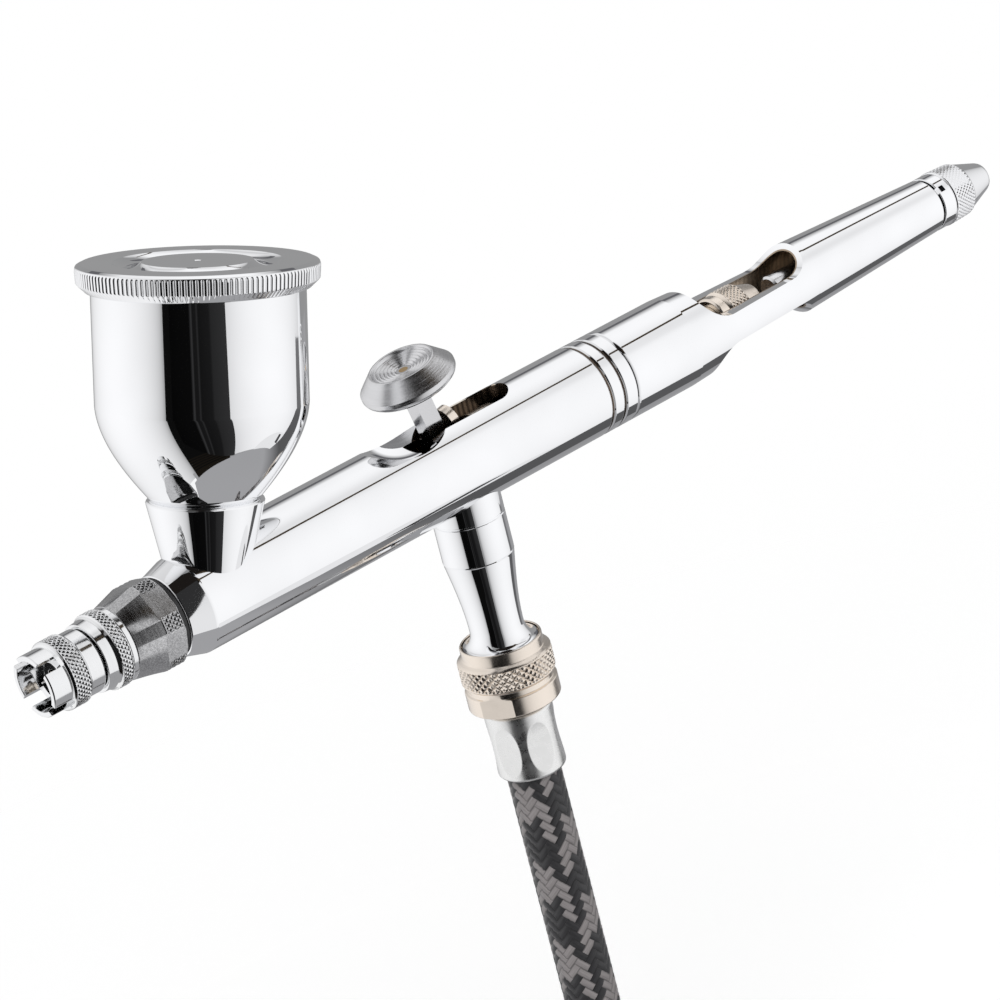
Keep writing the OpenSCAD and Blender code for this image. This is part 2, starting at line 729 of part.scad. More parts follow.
module needle_guide() {
    ear_low = lever_w / 2 + gap - 0.1;
    color(nickel) difference() {
        union() {
            bar_x(collar_x, collar_x + collar_len, chamber_r - run);
            bar_x(collar_x, chuck_x + chuck_grip, guide_r);
            for (side = [-1, 1]) ear(side * (ear_low + ear_t / 2));
        }
        bar_x(lever_x - 4, chuck_x + chuck_len, needle_bore_r);
        translate([lever_x, 0, 0]) bar_y(chamber_d, trunnion_r + run);
    }
}

// Ear of the needle guide, beside the auxiliary lever
module ear(y) {
    translate([lever_x, y, 0]) {
        bar_y(ear_t, ear_r);
        translate([0, -ear_t / 2, -ear_r]) cube([collar_x - lever_x + over, ear_t, 2 * ear_r]);
    }
}

module needle_spring() {
    color(satin) translate([collar_x + collar_len, 0, 0]) rotate([0, 90, 0])
        spring(spring_len, coil_r, spring_wire, spring_turns);
}

module spring_case() {
    inner = case_r - case_wall;
    floor_x = case_end_x - case_floor;
    color(nickel) lathe_x([[case_x, inner], [case_x, case_r], [case_end_x - 0.4, case_r],
        [case_end_x, case_r - 0.4], [case_end_x, guide_r + run], [floor_x, guide_r + run], [floor_x, inner]]);
}

module chuck_nut() {
    band = chuck_x + 1.9;
    band_end = band + 3.3;
    end = chuck_x + chuck_len;
    color(nickel) lathe_x([[chuck_x, guide_r + fit], [chuck_x, chuck_d / 2 - 0.5],
        [chuck_x + 0.3, chuck_d / 2 - 0.25],
        [band - 0.4, chuck_d / 2 - 0.25], [band - 0.2, chuck_d / 2 - 0.5], [band, chuck_d / 2 - 0.2],
        [band + 0.2, chuck_d / 2], [band_end - 0.2, chuck_d / 2], [band_end, chuck_d / 2 - 0.3],
        [end - 0.3, guide_r + 0.15], [end, guide_r - 0.15], [end, needle_bore_r],
        [chuck_x + chuck_grip + run, needle_bore_r], [chuck_x + chuck_grip + run, guide_r + fit]]);
}

module handle() {
    case_bore = case_r + 0.2;
    case_bore_x = case_end_x + gap;
    spigot_end = joint_x - socket_len + gap;
    bore = window_bore_d / 2;
    color(chrome) difference() {
        lathe_x([[spigot_end, case_bore], [spigot_end, socket_r], [joint_x, socket_r],
            [joint_x, body_r - 0.3], [joint_x + 0.5, body_r], [grip_len / 2, body_r], [waist_x, waist_d / 2],
            [handle_end_x - 0.15, handle_end_d / 2], [handle_end_x, handle_end_d / 2 - 0.15],
            [handle_end_x, rod_r + run],
            [rod_ring_x + rod_ring_w, rod_r + run], [rod_ring_x + rod_ring_w, rod_ring_r + fit],
            [rod_ring_x, rod_ring_r + fit], [rod_ring_x, rod_r + run], [rod_bore_x, rod_r + run],
            [rod_bore_x - 2, bore], [case_bore_x + 0.6, bore], [case_bore_x, case_bore]]);
        for (turn = [0, 180]) rotate([turn, 0, 0]) window_cut();
    }
}

// Cut that opens the handle from above
module window_cut() {
    rotate([90, 0, 0]) linear_extrude(body_d + 2 * over, center = true) {
        for (x = [window_x, window_x + window_run]) translate([x, window_z]) circle(r = window_r);
        translate([window_x, rail_h / 2]) square([window_run, window_r]);
        translate([window_x - window_r, window_z]) square([window_run + 2 * window_r, body_r]);
    }
}

module rod_ring() {
    color(black) lathe_x([[rod_ring_x + fit, rod_r + run], [rod_ring_x + fit, rod_ring_r],
        [rod_ring_x + rod_ring_w - fit, rod_ring_r], [rod_ring_x + rod_ring_w - fit, rod_r + run]]);
}

module stop_rod() {
    color(satin) lathe_x([[rod_x, 0], [rod_x, rod_r - 0.3], [rod_x + 0.3, rod_r], [rod_end_x, rod_r],
        [rod_end_x, 0]]);
}

module preset_knob() {
    band = knob_x + 2.4;
    band_end = band + 3.8;
    end = knob_x + knob_len;
    front_r = handle_end_d / 2;
    color(chrome) lathe_x([[knob_x, rod_r + run], [knob_x, front_r - 0.1], [knob_x + 0.1, front_r],
        [band - 0.2, front_r], [band, knob_d / 2], [band_end, knob_d / 2 - 0.15],
        [band_end + 0.2, knob_d / 2 - 0.35], [end - 0.6, knob_tip_d / 2 + 0.1],
        [end, knob_tip_d / 2 - 0.4], [end, 0], [rod_end_x + run, 0],
        [rod_end_x + run, rod_r + run]]);
}

module valve_body() {
    top = valve_d / 2;
    neck = neck_d / 2;
    spigot = valve_d / 2 - 1.1;
    flange = flange_d / 2;
    taper = [for (t = [0 : 0.125 : 1])
        curve([valve_boss_h, top], [valve_boss_h + 3.4, top - 0.55], [neck_h - 3.4, neck], [neck_h, neck], t)];
    flare = [for (a = [15 : 15 : 75])
        [neck_h + (flange_h - neck_h) * sin(a), neck + (flange - neck) * (1 - cos(a))]];
    color(chrome) difference() {
        lathe_down(concat([[spigot_top, rod_valve_r + run], [spigot_top, spigot], [valve_boss_h, spigot]],
            taper, flare, [[flange_h, flange], [flange_h + 0.6, flange], [flange_h + 0.6, thread_d / 2],
            [body_end - 0.4, thread_d / 2], [body_end, thread_d / 2 - 0.4], [body_end, lower_r],
            [seat_low, lower_r], [seat_low, seat_r], [seat_top, seat_r], [seat_top, gallery_r],
            [guide_low, gallery_r], [guide_low, rod_valve_r + run]]));
        bar_down(spigot_top - over, spigot_top + packing_depth, gallery_r + fit);
    }
}

module valve_packing() {
    low = spigot_top + packing_depth;
    color(black) lathe_down([[spigot_top + 0.2, rod_valve_r + run], [spigot_top + 0.2, gallery_r],
        [low, gallery_r], [low, rod_valve_r + run]]);
}

module valve_plunger() {
    color(nickel) difference() {
        lathe_down([[head_top, 0], [head_top, plunger_d / 2], [head_low, plunger_d / 2],
            [head_low, rod_valve_r],
            [disc_top, rod_valve_r], [disc_top, disc_r], [disc_low, disc_r],
            [disc_low, plunger_tail_r], [disc_low + plunger_tail, plunger_tail_r], [disc_low + plunger_tail, 0]]);
        translate([valve_x, 0, -pivot_depth]) block(plunger_d + over, tongue_t + 2 * run, -tongue_r - 0.2, plunger_d);
        translate(pivot) bar_y(plunger_d + over, pin_d / 2 + fit);
    }
}

module valve_seal() {
    top = disc_top - seal_thick;
    color(black) lathe_down([[top, rod_valve_r + fit], [top, disc_r], [disc_top, disc_r],
        [disc_top, rod_valve_r + fit]]);
}

module valve_spring() {
    color(satin) translate([valve_x, 0, -screw_top])
        spring(screw_top - disc_low, disc_r - 0.35, valve_wire, valve_turns);
}

module valve_screw() {
    color(nickel) difference() {
        bar_down(screw_top, screw_low, lower_r - fit);
        bar_down(screw_top - over, screw_low + over, 1.1);
        translate([valve_x, 0, 0]) block(0.8, flange_d, -screw_low - over, -screw_low + 0.8);
    }
}

// Swivel nut of the hose, its mouth at z = 0 and its floor below
module swivel_nut() {
    outer = nut_d / 2;
    rim = outer - 0.8;
    band_top = 2.2;
    band_low = 5.0;
    ring_top = 6.3;
    ring_low = nut_len - 0.7;
    color(nickel) rotate_extrude() polygon([[thread_r + mouth_room, 0], [rim - 0.15, 0], [rim, -0.15],
        [rim, 0.5 - band_top], [outer - 0.35, 0.3 - band_top], [outer, -band_top], [outer, -band_low],
        [outer - 0.35, -band_low - 0.3], [outer - 0.5, -band_low - 0.4], [outer - 0.5, 0.2 - ring_top],
        [outer - 0.1, -ring_top], [outer - 0.1, -ring_low], [ferrule_d / 2 + 0.1, -nut_len],
        [stem_r + run, -nut_len], [stem_r + run, -nut_floor], [thread_r + relief, -nut_floor],
        [thread_r + relief, -relief_top], [thread_r, -relief_top], [thread_r, -mouth_h],
        [thread_r + mouth_room, -mouth_h]]);
}

// Sealing washer in the nut
module washer() {
    color(black) translate([0, 0, -collar_top]) difference() {
        cylinder(h = washer_t, r = thread_r - 0.5);
        translate([0, 0, -over]) cylinder(h = washer_t + 2 * over, r = lower_r);
    }
}

// Tail that the nut turns on and that the hose is pushed over
module tail() {
    color(nickel) rotate_extrude() polygon([[air_r, -collar_top], [thread_r - 0.5, -collar_top],
        [thread_r - 0.5, -collar_low], [stem_r, -collar_low], [stem_r, -ferrule_top], [barb_r, -ferrule_top],
        [barb_r, 1 - ferrule_low], [air_r, 1 - ferrule_low]]);
}

// Crimped ferrule with six long flats
module ferrule() {
    flat_r = 16;
    flat_at = ferrule_d / 2 - 0.42;
    middle = -(ferrule_top + ferrule_low) / 2 - 0.3;
    color(satin) difference() {
        rotate_extrude() polygon([[barb_r + fit, -ferrule_top], [ferrule_d / 2 - 0.3, -ferrule_top],
            [ferrule_d / 2, -ferrule_top - 0.4], [ferrule_d / 2, 0.4 - ferrule_low],
            [ferrule_d / 2 - 0.25, -ferrule_low], [hose_r + run, -ferrule_low], [hose_r + run, -hose_top],
            [barb_r + fit, -hose_top]]);
        for (k = [0 : 5]) rotate([0, 0, 60 * k + 17]) translate([flat_at + flat_r, 0, middle])
            rotate([90, 0, 0]) cylinder(h = ferrule_d, r = flat_r, center = true, $fn = 360);
    }
}

module hose_nut() { on_valve() swivel_nut(); }
module hose_washer() { on_valve() washer(); }
module hose_tail() { on_valve() tail(); }
module hose_ferrule() { on_valve() ferrule(); }
module far_nut() { on_far_end() swivel_nut(); }
module far_washer() { on_far_end() washer(); }
module far_tail() { on_far_end() tail(); }
module far_ferrule() { on_far_end() ferrule(); }

module hose_lead() {
    top = -nut_top - hose_top;
    bend_z = top_z + bend_r;
    down = [for (k = [0 : 5]) [valve_x, 0, top + (bend_z - top) * k / 5]];
    bend = [for (a = [15 : 15 : 90])
        [valve_x, 0, bend_z - bend_r * sin(a)] + bend_r * (1 - cos(a)) * ahead];
    path = concat(down, bend);
    color(black) difference() {
        sweep(path, [for (p = path) beside], hose_r, hose_sides, [[0, 0, -1], ahead]);
        on_valve() barb_hole();
    }
}

// Coil: in along the top layer, down a layer in the half turn at the middle, and out again below
function coil_point(s) =
    let (turn = s / coil_steps, from_mid = turn - coil_turns / 2,
        r = coil_inner_r + coil_pitch * abs(from_mid),
        drop = min(max(from_mid * 2 + 0.5, 0), 1),
        a = heading + 270 + 360 * turn)
    [coil_centre[0], coil_centre[1], top_z - coil_pitch * drop] + r * [cos(a), sin(a), 0];

module hose_coil() {
    path = [for (s = [0 : coil_turns * coil_steps]) coil_point(s)];
    side = [for (i = [0 : len(path) - 1]) let (s = cross([0, 0, 1], heading_at(path, i))) s / norm(s)];
    echo("least gap between coil turns", turn_gap(path, coil_steps / 2, hose_d));
    square_side = concat([-beside], [for (i = [1 : len(side) - 2]) side[i]], [-beside]);
    color(black) sweep(path, square_side, hose_r, 6, [ahead, ahead]);
}

module hose_end() {
    path = [for (p = end_route) coil_start + p[0] * ahead + [0, 0, low_z + p[1]]];
    color(black) difference() {
        sweep(path, [for (p = path) beside], hose_r, hose_sides, [ahead, ahead]);
        on_far_end() barb_hole();
    }
}

// Hole in the end of the hose that the tail is pushed into
module barb_hole() {
    translate([0, 0, 0.9 - ferrule_low]) cylinder(h = ferrule_low - hose_top, r = barb_r + fit);
}

// Strap round all the turns, where the coil doesn't change layer
module hose_tie() {
    wide = coil_outer_r - coil_inner_r - coil_pitch + hose_d + 2 * tie_room;
    high = coil_pitch + hose_d + 2 * tie_rest;
    mid_r = (coil_outer_r + coil_inner_r) / 2;
    corner = hose_r - 0.2;
    color(black) translate([coil_centre[0], coil_centre[1], (low_z + top_z) / 2]) rotate([0, 0, tie_angle])
        translate([mid_r, 0, 0]) rotate([90, 0, 0]) linear_extrude(tie_w, center = true) difference() {
            rounded(wide + 2 * tie_t, high + 2 * tie_t, corner + tie_t);
            rounded(wide, high, corner);
        }
}

// Rectangle with round corners, centred
module rounded(wide, high, r) {
    square([wide - 2 * r, high], center = true);
    square([wide, high - 2 * r], center = true);
    for (x = [-1, 1]) for (y = [-1, 1]) translate([x * (wide / 2 - r), y * (high / 2 - r)]) circle(r = r);
}

barrel();
head();
head_seal();
air_cap();
needle_cap();
nozzle();
needle();
needle_packing();
packing_screw();
cup();
cup_lid();
trigger_button();
trigger_stem();
trigger_pin();
aux_lever();
needle_guide();
needle_spring();
spring_case();
chuck_nut();
handle();
rod_ring();
stop_rod();
preset_knob();
valve_body();
valve_packing();
valve_plunger();
valve_seal();
valve_spring();
valve_screw();
hose_nut();
hose_washer();
hose_tail();
hose_ferrule();
hose_lead();
hose_coil();
hose_end();
hose_tie();
far_ferrule();
far_tail();
far_washer();
far_nut();
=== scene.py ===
import json
import math

import bpy
import numpy as np
from mathutils import Matrix, Vector


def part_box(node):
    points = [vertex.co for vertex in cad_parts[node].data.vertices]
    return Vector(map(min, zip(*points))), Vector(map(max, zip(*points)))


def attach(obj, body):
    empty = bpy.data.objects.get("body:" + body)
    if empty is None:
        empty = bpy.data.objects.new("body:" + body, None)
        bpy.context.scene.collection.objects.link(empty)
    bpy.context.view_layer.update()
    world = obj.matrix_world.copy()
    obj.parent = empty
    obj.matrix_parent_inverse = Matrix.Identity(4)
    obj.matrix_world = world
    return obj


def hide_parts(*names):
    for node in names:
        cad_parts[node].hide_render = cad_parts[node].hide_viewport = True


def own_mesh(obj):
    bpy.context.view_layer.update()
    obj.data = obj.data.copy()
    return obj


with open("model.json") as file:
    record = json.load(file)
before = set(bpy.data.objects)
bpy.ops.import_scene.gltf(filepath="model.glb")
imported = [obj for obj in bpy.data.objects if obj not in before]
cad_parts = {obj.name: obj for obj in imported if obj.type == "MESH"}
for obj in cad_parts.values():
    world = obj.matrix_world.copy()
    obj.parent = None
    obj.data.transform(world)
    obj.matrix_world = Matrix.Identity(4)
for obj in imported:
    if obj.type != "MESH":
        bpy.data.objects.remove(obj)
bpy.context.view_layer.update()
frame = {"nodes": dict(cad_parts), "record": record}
nodes = frame["nodes"]
scene = bpy.context.scene
scene.view_settings.view_transform = "Standard"
MM = 0.001


def basis(origin, x, y, z):
    axes = Matrix((Vector(x), Vector(y), Vector(z))).transposed().to_4x4()
    return Matrix.Translation(Vector(origin)) @ axes


# Camera, fitted to the photograph
def make_camera():
    data = bpy.data.cameras.new("camera")
    data.lens = 137.436
    data.sensor_width = 36.0
    data.clip_start = 0.01
    camera = bpy.data.objects.new("camera", data)
    right = (0.72980041, -0.64441072, -0.22831161)
    up = (0.40367318, 0.13665355, 0.90464013)
    back = (-0.55176021, -0.75237001, 0.35986114)
    camera.matrix_world = basis((-0.298995, -0.370438, 0.169151), right, up, back)
    scene.collection.objects.link(camera)
    scene.camera = camera


make_camera()


# Shader nodes
class Nodes:
    """A node tree, with short calls for what goes into it."""

    def __init__(self, owner, clear=False):
        owner.use_nodes = True
        self.tree = owner.node_tree
        if clear:
            self.tree.nodes.clear()

    def feed(self, target, value):
        """Link a socket to what feeds it, or set its value."""
        if isinstance(value, bpy.types.NodeSocket):
            self.tree.links.new(value, target)
        elif value is not None:
            target.default_value = value

    def node(self, kind, inputs=(), **settings):
        made = self.tree.nodes.new("ShaderNode" + kind)
        for key, value in settings.items():
            setattr(made, key, value)
        for key, value in dict(inputs).items():
            self.feed(made.inputs[key], value)
        return made

    def math(self, operation, a, b=None, c=None):
        return self.node("Math", {0: a, 1: b, 2: c}, operation=operation).outputs[0]

    def place(self):
        return self.node("TexCoord").outputs["Object"]

    def parts(self, vector):
        return self.node("SeparateXYZ", {"Vector": vector}).outputs

    def polar(self, vector):
        """How far a point is from the Z axis, and how far along it."""
        x, y, z = self.parts(vector)
        squares = self.math("ADD", self.math("POWER", x, 2.0), self.math("POWER", y, 2.0))
        return self.math("SQRT", squares), z

    def moved(self, vector, location=(0, 0, 0), rotation=(0, 0, 0)):
        inputs = {"Vector": vector, "Location": location, "Rotation": rotation}
        return self.node("Mapping", inputs, vector_type="TEXTURE").outputs[0]

    def stretched(self, vector, scale):
        return self.node("Mapping", {"Vector": vector, "Scale": scale}).outputs[0]

    def noise(self, vector, scale, detail=3.0, rough=0.55):
        inputs = {"Vector": vector, "Scale": scale, "Detail": detail, "Roughness": rough}
        return self.node("TexNoise", inputs).outputs["Fac"]

    def range(self, value, low, high, start=0.0, end=1.0, **settings):
        """Map start to end onto low to high."""
        inputs = {"Value": value, "From Min": start, "From Max": end, "To Min": low, "To Max": high}
        return self.node("MapRange", inputs, **settings).outputs["Result"]

    def mix(self, factor, a, b):
        a, b = (c if isinstance(c, bpy.types.NodeSocket) else (*c, 1.0) for c in (a, b))
        return self.node("Mix", {0: factor, 6: a, 7: b}, data_type="RGBA").outputs[2]

    def bump(self, height, distance):
        return self.node("Bump", {"Height": height, "Distance": distance}).outputs["Normal"]


class Shader(Nodes):
    """A material with a principled shader."""

    def __init__(self, name, base, rough, metal=0.0, **sockets):
        self.material = bpy.data.materials.new(name)
        super().__init__(self.material)
        self.main = self.tree.nodes["Principled BSDF"]
        sockets |= {"Base Color": (*base, 1.0), "Roughness": rough, "Metallic": metal}
        for key, value in sockets.items():
            self.set(key.replace("_", " "), value)

    def set(self, socket, value):
        self.feed(self.main.inputs[socket], value)

    def fed(self, socket):
        """What feeds a socket of the principled shader so far."""
        return self.main.inputs[socket].links[0].from_socket


def scaled(colour, by):
    return tuple(min(1.0, c * by) for c in colour)


def plated(name, base, low, high, haze=260.0, ripple=0.0):
    """Plated metal: a polish that varies a little, fine hairlines, and a slight ripple if asked for."""
    s = Shader(name, base, low, 1.0)
    place = s.place()
    cloud = s.noise(place, haze, 4.0)
    hair = s.noise(s.stretched(place, (900.0, 9000.0, 9000.0)), 1.0, 2.0)
    mixed = s.math("MULTIPLY_ADD", hair, 0.35, s.math("MULTIPLY", cloud, 0.65))
    s.set("Roughness", s.range(mixed, low, high, 0.3, 0.7))
    tone = s.range(s.noise(place, 90.0, 2.0), 0.0, 1.0, 0.35, 0.65)
    s.set("Base Color", s.mix(tone, base, scaled(base, 0.965)))
    if ripple:
        s.set("Normal", s.bump(s.noise(place, 420.0, 1.0), ripple))
    return s


def turned(name, base, low, high, lines, depth, rotation=(0, 0, 0)):
    """Metal with lathe lines round an axis: fine rings in the polish and in the surface."""
    s = Shader(name, base, low, 1.0)
    place = s.place()
    radius, along = s.polar(s.moved(place, rotation=rotation))
    across = s.node("CombineXYZ", {"X": radius, "Z": along}).outputs[0]
    rings = s.noise(across, lines, 3.0, 0.7)
    mixed = s.math("MULTIPLY_ADD", rings, 0.6, s.math("MULTIPLY", s.noise(place, 500.0), 0.4))
    s.set("Roughness", s.range(mixed, low, high, 0.3, 0.7))
    s.set("Base Color", s.mix(s.range(rings, 0.0, 1.0, 0.3, 0.7), scaled(base, 0.9), base))
    s.set("Normal", s.bump(rings, depth))
    return s


# Places in mm, and the frames of the lathe-turned pieces, whose own axis is Z
VALVE_X = -32.8
CUP_X = -73.4
LEAN = math.radians(12.0)
TILT = math.radians(16.1)
PIVOT_Z = -5.2
NUT_TOP = -25.4

# The hose, which drops to a coil of two layers and runs out under its bend
HOSE_R = 3.7
HOSE_TOP = -37.1
TOP_Z = -132.35
LOW_Z = -140.3
BEND_R = 30.0
COIL_IN = 31.0
COIL_PITCH = 7.95
COIL_TURNS = 6
AHEAD_TURN = -110.0
AHEAD = Vector((math.cos(math.radians(AHEAD_TURN)), math.sin(math.radians(AHEAD_TURN)), 0.0))
BESIDE = Vector((-AHEAD.y, AHEAD.x, 0.0))
END_ROUTE = ((0, 0), (7.4, 0), (14, 0.3), (23, 1.5), (31, 2.5), (38, 2.6), (48, 2.6))
MOUTH_RUN = 59.7
COIL_START = Vector((VALVE_X, 0, 0)) + BEND_R * AHEAD
COIL_CENTRE = COIL_START + (COIL_IN + COIL_PITCH * COIL_TURNS / 2) * BESIDE
FAR_MOUTH = COIL_START + MOUTH_RUN * AHEAD + Vector((0, 0, LOW_Z + END_ROUTE[-1][1]))

ON_BODY = basis((0, 0, 0), (0, 0, 1), (0, -1, 0), (1, 0, 0))
BELOW = Matrix.Translation((VALVE_X, 0, 0))
ON_VALVE = Matrix.Translation((VALVE_X, 0, NUT_TOP))
ON_FAR = basis(FAR_MOUTH, BESIDE, (0, 0, 1), AHEAD)
ON_CUP = Matrix.Translation((CUP_X, 0, 0)) @ Matrix.Rotation(TILT, 4, "Y")
ON_TRIGGER = Matrix.Translation((VALVE_X, 0, PIVOT_Z)) @ Matrix.Rotation(-LEAN, 4, "Y")


# Materials
BORE_STRIPE_PITCH = 0.8


def polished(name):
    return plated(name, (0.93, 0.935, 0.945), 0.012, 0.04, ripple=0.0000008)


def bored(name, limit, start, end, dark, pale, ball=None):
    """Chrome outside and dull brass in the bore, within the limit of the axis, between two places on it; the
    bore's brass is darkened as painted shade, in pale and dark stripes that paint ridges.
    """
    s = polished(name)
    local = s.place()
    radius, along = s.polar(local)
    inside = s.math("LESS_THAN", radius, limit * MM)
    inside = s.math("MULTIPLY", inside, s.math("LESS_THAN", along, end * MM))
    inside = s.math("MULTIPLY", inside, s.math("GREATER_THAN", along, start * MM))
    if ball is not None:
        x, z, r = ball
        reach = s.node("VectorMath", {0: local, 1: (z * MM, 0.0, x * MM)}, operation="DISTANCE")
        outside = s.math("GREATER_THAN", reach.outputs["Value"], (r + 0.03) * MM)
        inside = s.math("MULTIPLY", inside, outside)
    # Painted shade: inside the bore the colour runs between the dark and the pale tone, in stripes along the
    # axis that paint ridges.
    ridge_shade_stripes = s.math("SINE", s.math("MULTIPLY", along, math.tau / (BORE_STRIPE_PITCH * MM)))
    brass = s.mix(s.range(ridge_shade_stripes, 0.0, 1.0, -1.0, 1.0), dark, pale)
    dull = s.math("MULTIPLY", inside, 0.34)
    s.set("Base Color", s.mix(inside, s.fed("Base Color"), brass))
    s.set("Roughness", s.math("MAXIMUM", s.fed("Roughness"), dull))
    return s


def riveted():
    """Steel-grey stem whose rivet end in the button is bare brass."""
    s = plated("stem_chrome", (0.62, 0.62, 0.63), 0.10, 0.2)
    radius, along = s.polar(s.moved(s.place(), (VALVE_X * MM, 0, PIVOT_Z * MM), (0, -LEAN, 0)))
    high = s.math("GREATER_THAN", along, 17.0 * MM)
    rivet = s.math("MULTIPLY", high, s.math("LESS_THAN", radius, 0.62 * MM))
    s.set("Base Color", s.mix(rivet, s.fed("Base Color"), (0.50, 0.35, 0.18)))
    return s


def button_material():
    """Turned steel whose gloss is drawn out across its rings."""
    s = turned("button_steel", (0.72, 0.72, 0.73), 0.14, 0.25, 3200.0, 0.000018)
    s.set("Anisotropic", 0.85)
    s.set("Tangent", s.node("Tangent", direction_type="RADIAL", axis="Z").outputs[0])
    return s


def head_material():
    """Dark turned steel with a fine grain."""
    s = turned("head_dark", (0.60, 0.60, 0.605), 0.10, 0.24, 2600.0, 0.000002)
    grain = s.range(s.noise(s.place(), 5200.0, 2.0, 0.6), 0.0, 1.0, 0.36, 0.62)
    s.set("Base Color", s.mix(grain, (0.38, 0.38, 0.385), (0.62, 0.62, 0.625)))
    return s


def grained(name, base, rough):
    """Rubber or plastic of the seals."""
    s = Shader(name, base, rough)
    cloud = s.noise(s.place(), 2500.0, 4.0)
    s.set("Base Color", s.mix(cloud, scaled(base, 0.75), scaled(base, 1.25)))
    s.set("Roughness", s.range(cloud, rough - 0.1, rough + 0.1))
    s.set("Normal", s.bump(cloud, 0.00001))
    return s


BRAID_COUNT = 16
BRAID_PITCH = 24.0 * MM


def braid_material():
    """Flat strands that pass over two and under two, black and warm grey, with fibres along each strand."""
    s = Shader("hose_braid", (0.1, 0.1, 0.1), 0.5, 0.0, Sheen_Weight=0.25, Sheen_Roughness=0.4)
    u, v = s.parts(s.node("UVMap", uv_map="braid").outputs["UV"])[:2]
    turn = s.math("MULTIPLY", u, float(BRAID_COUNT))
    run = s.math("MULTIPLY", v, BRAID_COUNT / BRAID_PITCH)
    left, right = (s.math(way, turn, run) for way in ("ADD", "SUBTRACT"))
    left_id, right_id = (s.math("FLOOR", way) for way in (left, right))
    left_at, right_at = (s.math("FRACT", way) for way in (left, right))
    pair = s.math("FLOORED_MODULO", s.math("ADD", left_id, right_id), 4.0)
    top = s.math("LESS_THAN", pair, 2.0)
    under = s.math("SUBTRACT", 1.0, top)

    def pick(a, b):
        return s.math("ADD", s.math("MULTIPLY", a, top), s.math("MULTIPLY", b, under))

    strand, across, along = pick(left_id, right_id), pick(left_at, right_at), pick(right, left)
    dark_left = s.math("LESS_THAN", s.math("FLOORED_MODULO", left_id, 8.0), 4.0)
    dark_right = s.math("LESS_THAN", s.math("FLOORED_MODULO", right_id, 8.0), 5.0)
    spot = {"X": s.math("MULTIPLY", across, 9.0), "Y": along, "Z": s.math("MULTIPLY", strand, 3.7)}
    seed = s.node("CombineXYZ", spot).outputs[0]
    fibre = s.noise(s.stretched(seed, (1.0, 0.25, 1.0)), 1.0, 3.0, 0.6)
    grey = s.mix(fibre, (0.17, 0.155, 0.155), (0.40, 0.37, 0.37))
    black = s.mix(fibre, (0.012, 0.012, 0.014), (0.040, 0.039, 0.042))
    bulge = s.math("SINE", s.math("MULTIPLY", across, math.pi))
    # Painted shade: each strand darkens towards near black at its edges, where it dips under its neighbours.
    edge = s.range(bulge, 0.35, 1.0, 0.0, 0.55)
    tint = s.mix(pick(dark_left, dark_right), grey, black)
    s.set("Base Color", s.mix(edge, (0.006, 0.006, 0.006), tint))
    s.set("Roughness", s.range(fibre, 0.38, 0.62))
    s.set("Normal", s.bump(s.math("MULTIPLY_ADD", fibre, 0.3, bulge), 0.00012))
    return s


def strap_material():
    """Woven strap: ribs across and a fine thread along."""
    s = Shader("strap_black", (0.02, 0.02, 0.021), 0.6, 0.0, Sheen_Weight=0.2, Sheen_Roughness=0.5)
    place = s.place()
    weave = {"Vector": place, "Scale": 900.0, "Distortion": 0.6}
    ribs = s.node("TexWave", weave, bands_direction="DIAGONAL").outputs["Fac"]
    both = s.math("MULTIPLY_ADD", s.noise(place, 6000.0, 2.0), 0.4, ribs)
    s.set("Base Color", s.mix(both, (0.010, 0.010, 0.011), (0.045, 0.045, 0.047)))
    s.set("Normal", s.bump(both, 0.00008))
    return s


chrome = polished("chrome")
button_steel = button_material()
bright_steel = turned("bright_steel", (0.80, 0.80, 0.81), 0.10, 0.22, 9000.0, 0.000003, (0, math.pi / 2, 0))
stem_chrome = riveted()
head_steel = turned("head_steel", (0.90, 0.905, 0.91), 0.05, 0.12, 9000.0, 0.0000012)
head_dark = head_material()
champagne = plated("champagne_nickel", (0.86, 0.775, 0.685), 0.13, 0.27, 700.0)
nozzle_nickel = plated("nozzle_nickel", (0.80, 0.73, 0.64), 0.15, 0.30, 700.0)
satin = plated("satin_nickel", (0.84, 0.84, 0.83), 0.20, 0.38, 900.0)
seal_rubber = grained("seal_rubber", (0.018, 0.018, 0.019), 0.5)
seal_white = grained("seal_white", (0.72, 0.71, 0.68), 0.45)
hose_braid = braid_material()
strap_black = strap_material()


# Mesh helpers
SHARP = 32.0
NEAR = 0.07


def add_mesh(name, points, faces, material=None, place=None, smooth=False):
    """A mesh object from points in metres, at a place in mm."""
    mesh = bpy.data.meshes.new(name)
    mesh.from_pydata([tuple(p) for p in points], [], faces)
    mesh.polygons.foreach_set("use_smooth", [smooth] * len(mesh.polygons))
    if material is not None:
        mesh.materials.append(material)
    made = bpy.data.objects.new(name, mesh)
    if place is not None:
        made.matrix_world = Matrix.Translation(place.translation * MM) @ place.to_3x3().to_4x4()
    scene.collection.objects.link(made)
    return made


def add_piece(name, points, faces, body, shader, stands_for, sharp=SHARP, place=None):
    """A visible piece that rides on a body and stands for the solids named."""
    made = add_mesh(name, points, faces, shader.material, place, True)
    made.data.validate()
    made.data.set_sharp_from_angle(angle=math.radians(sharp))
    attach(made, body)
    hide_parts(*stands_for)
    return made


def ring_faces(rows, around, closed=False):
    """Faces between rings of points, which close on each other or have a cap at each end."""
    faces = []
    for i in range(rows if closed else rows - 1):
        here, there = i * around, (i + 1) % rows * around
        for k in range(around):
            m = (k + 1) % around
            faces.append((here + k, here + m, there + m, there + k))
    if not closed:
        faces += [tuple(range(around - 1, -1, -1)), tuple(range((rows - 1) * around, rows * around))]
    return faces


def sides(outline):
    """Each point of a closed outline with the next."""
    return zip(outline, [*outline[1:], outline[0]])


def between(a, b, share, of=1):
    """The point at a share of the way from a to b."""
    return tuple(p + (q - p) * share / of for p, q in zip(a, b))


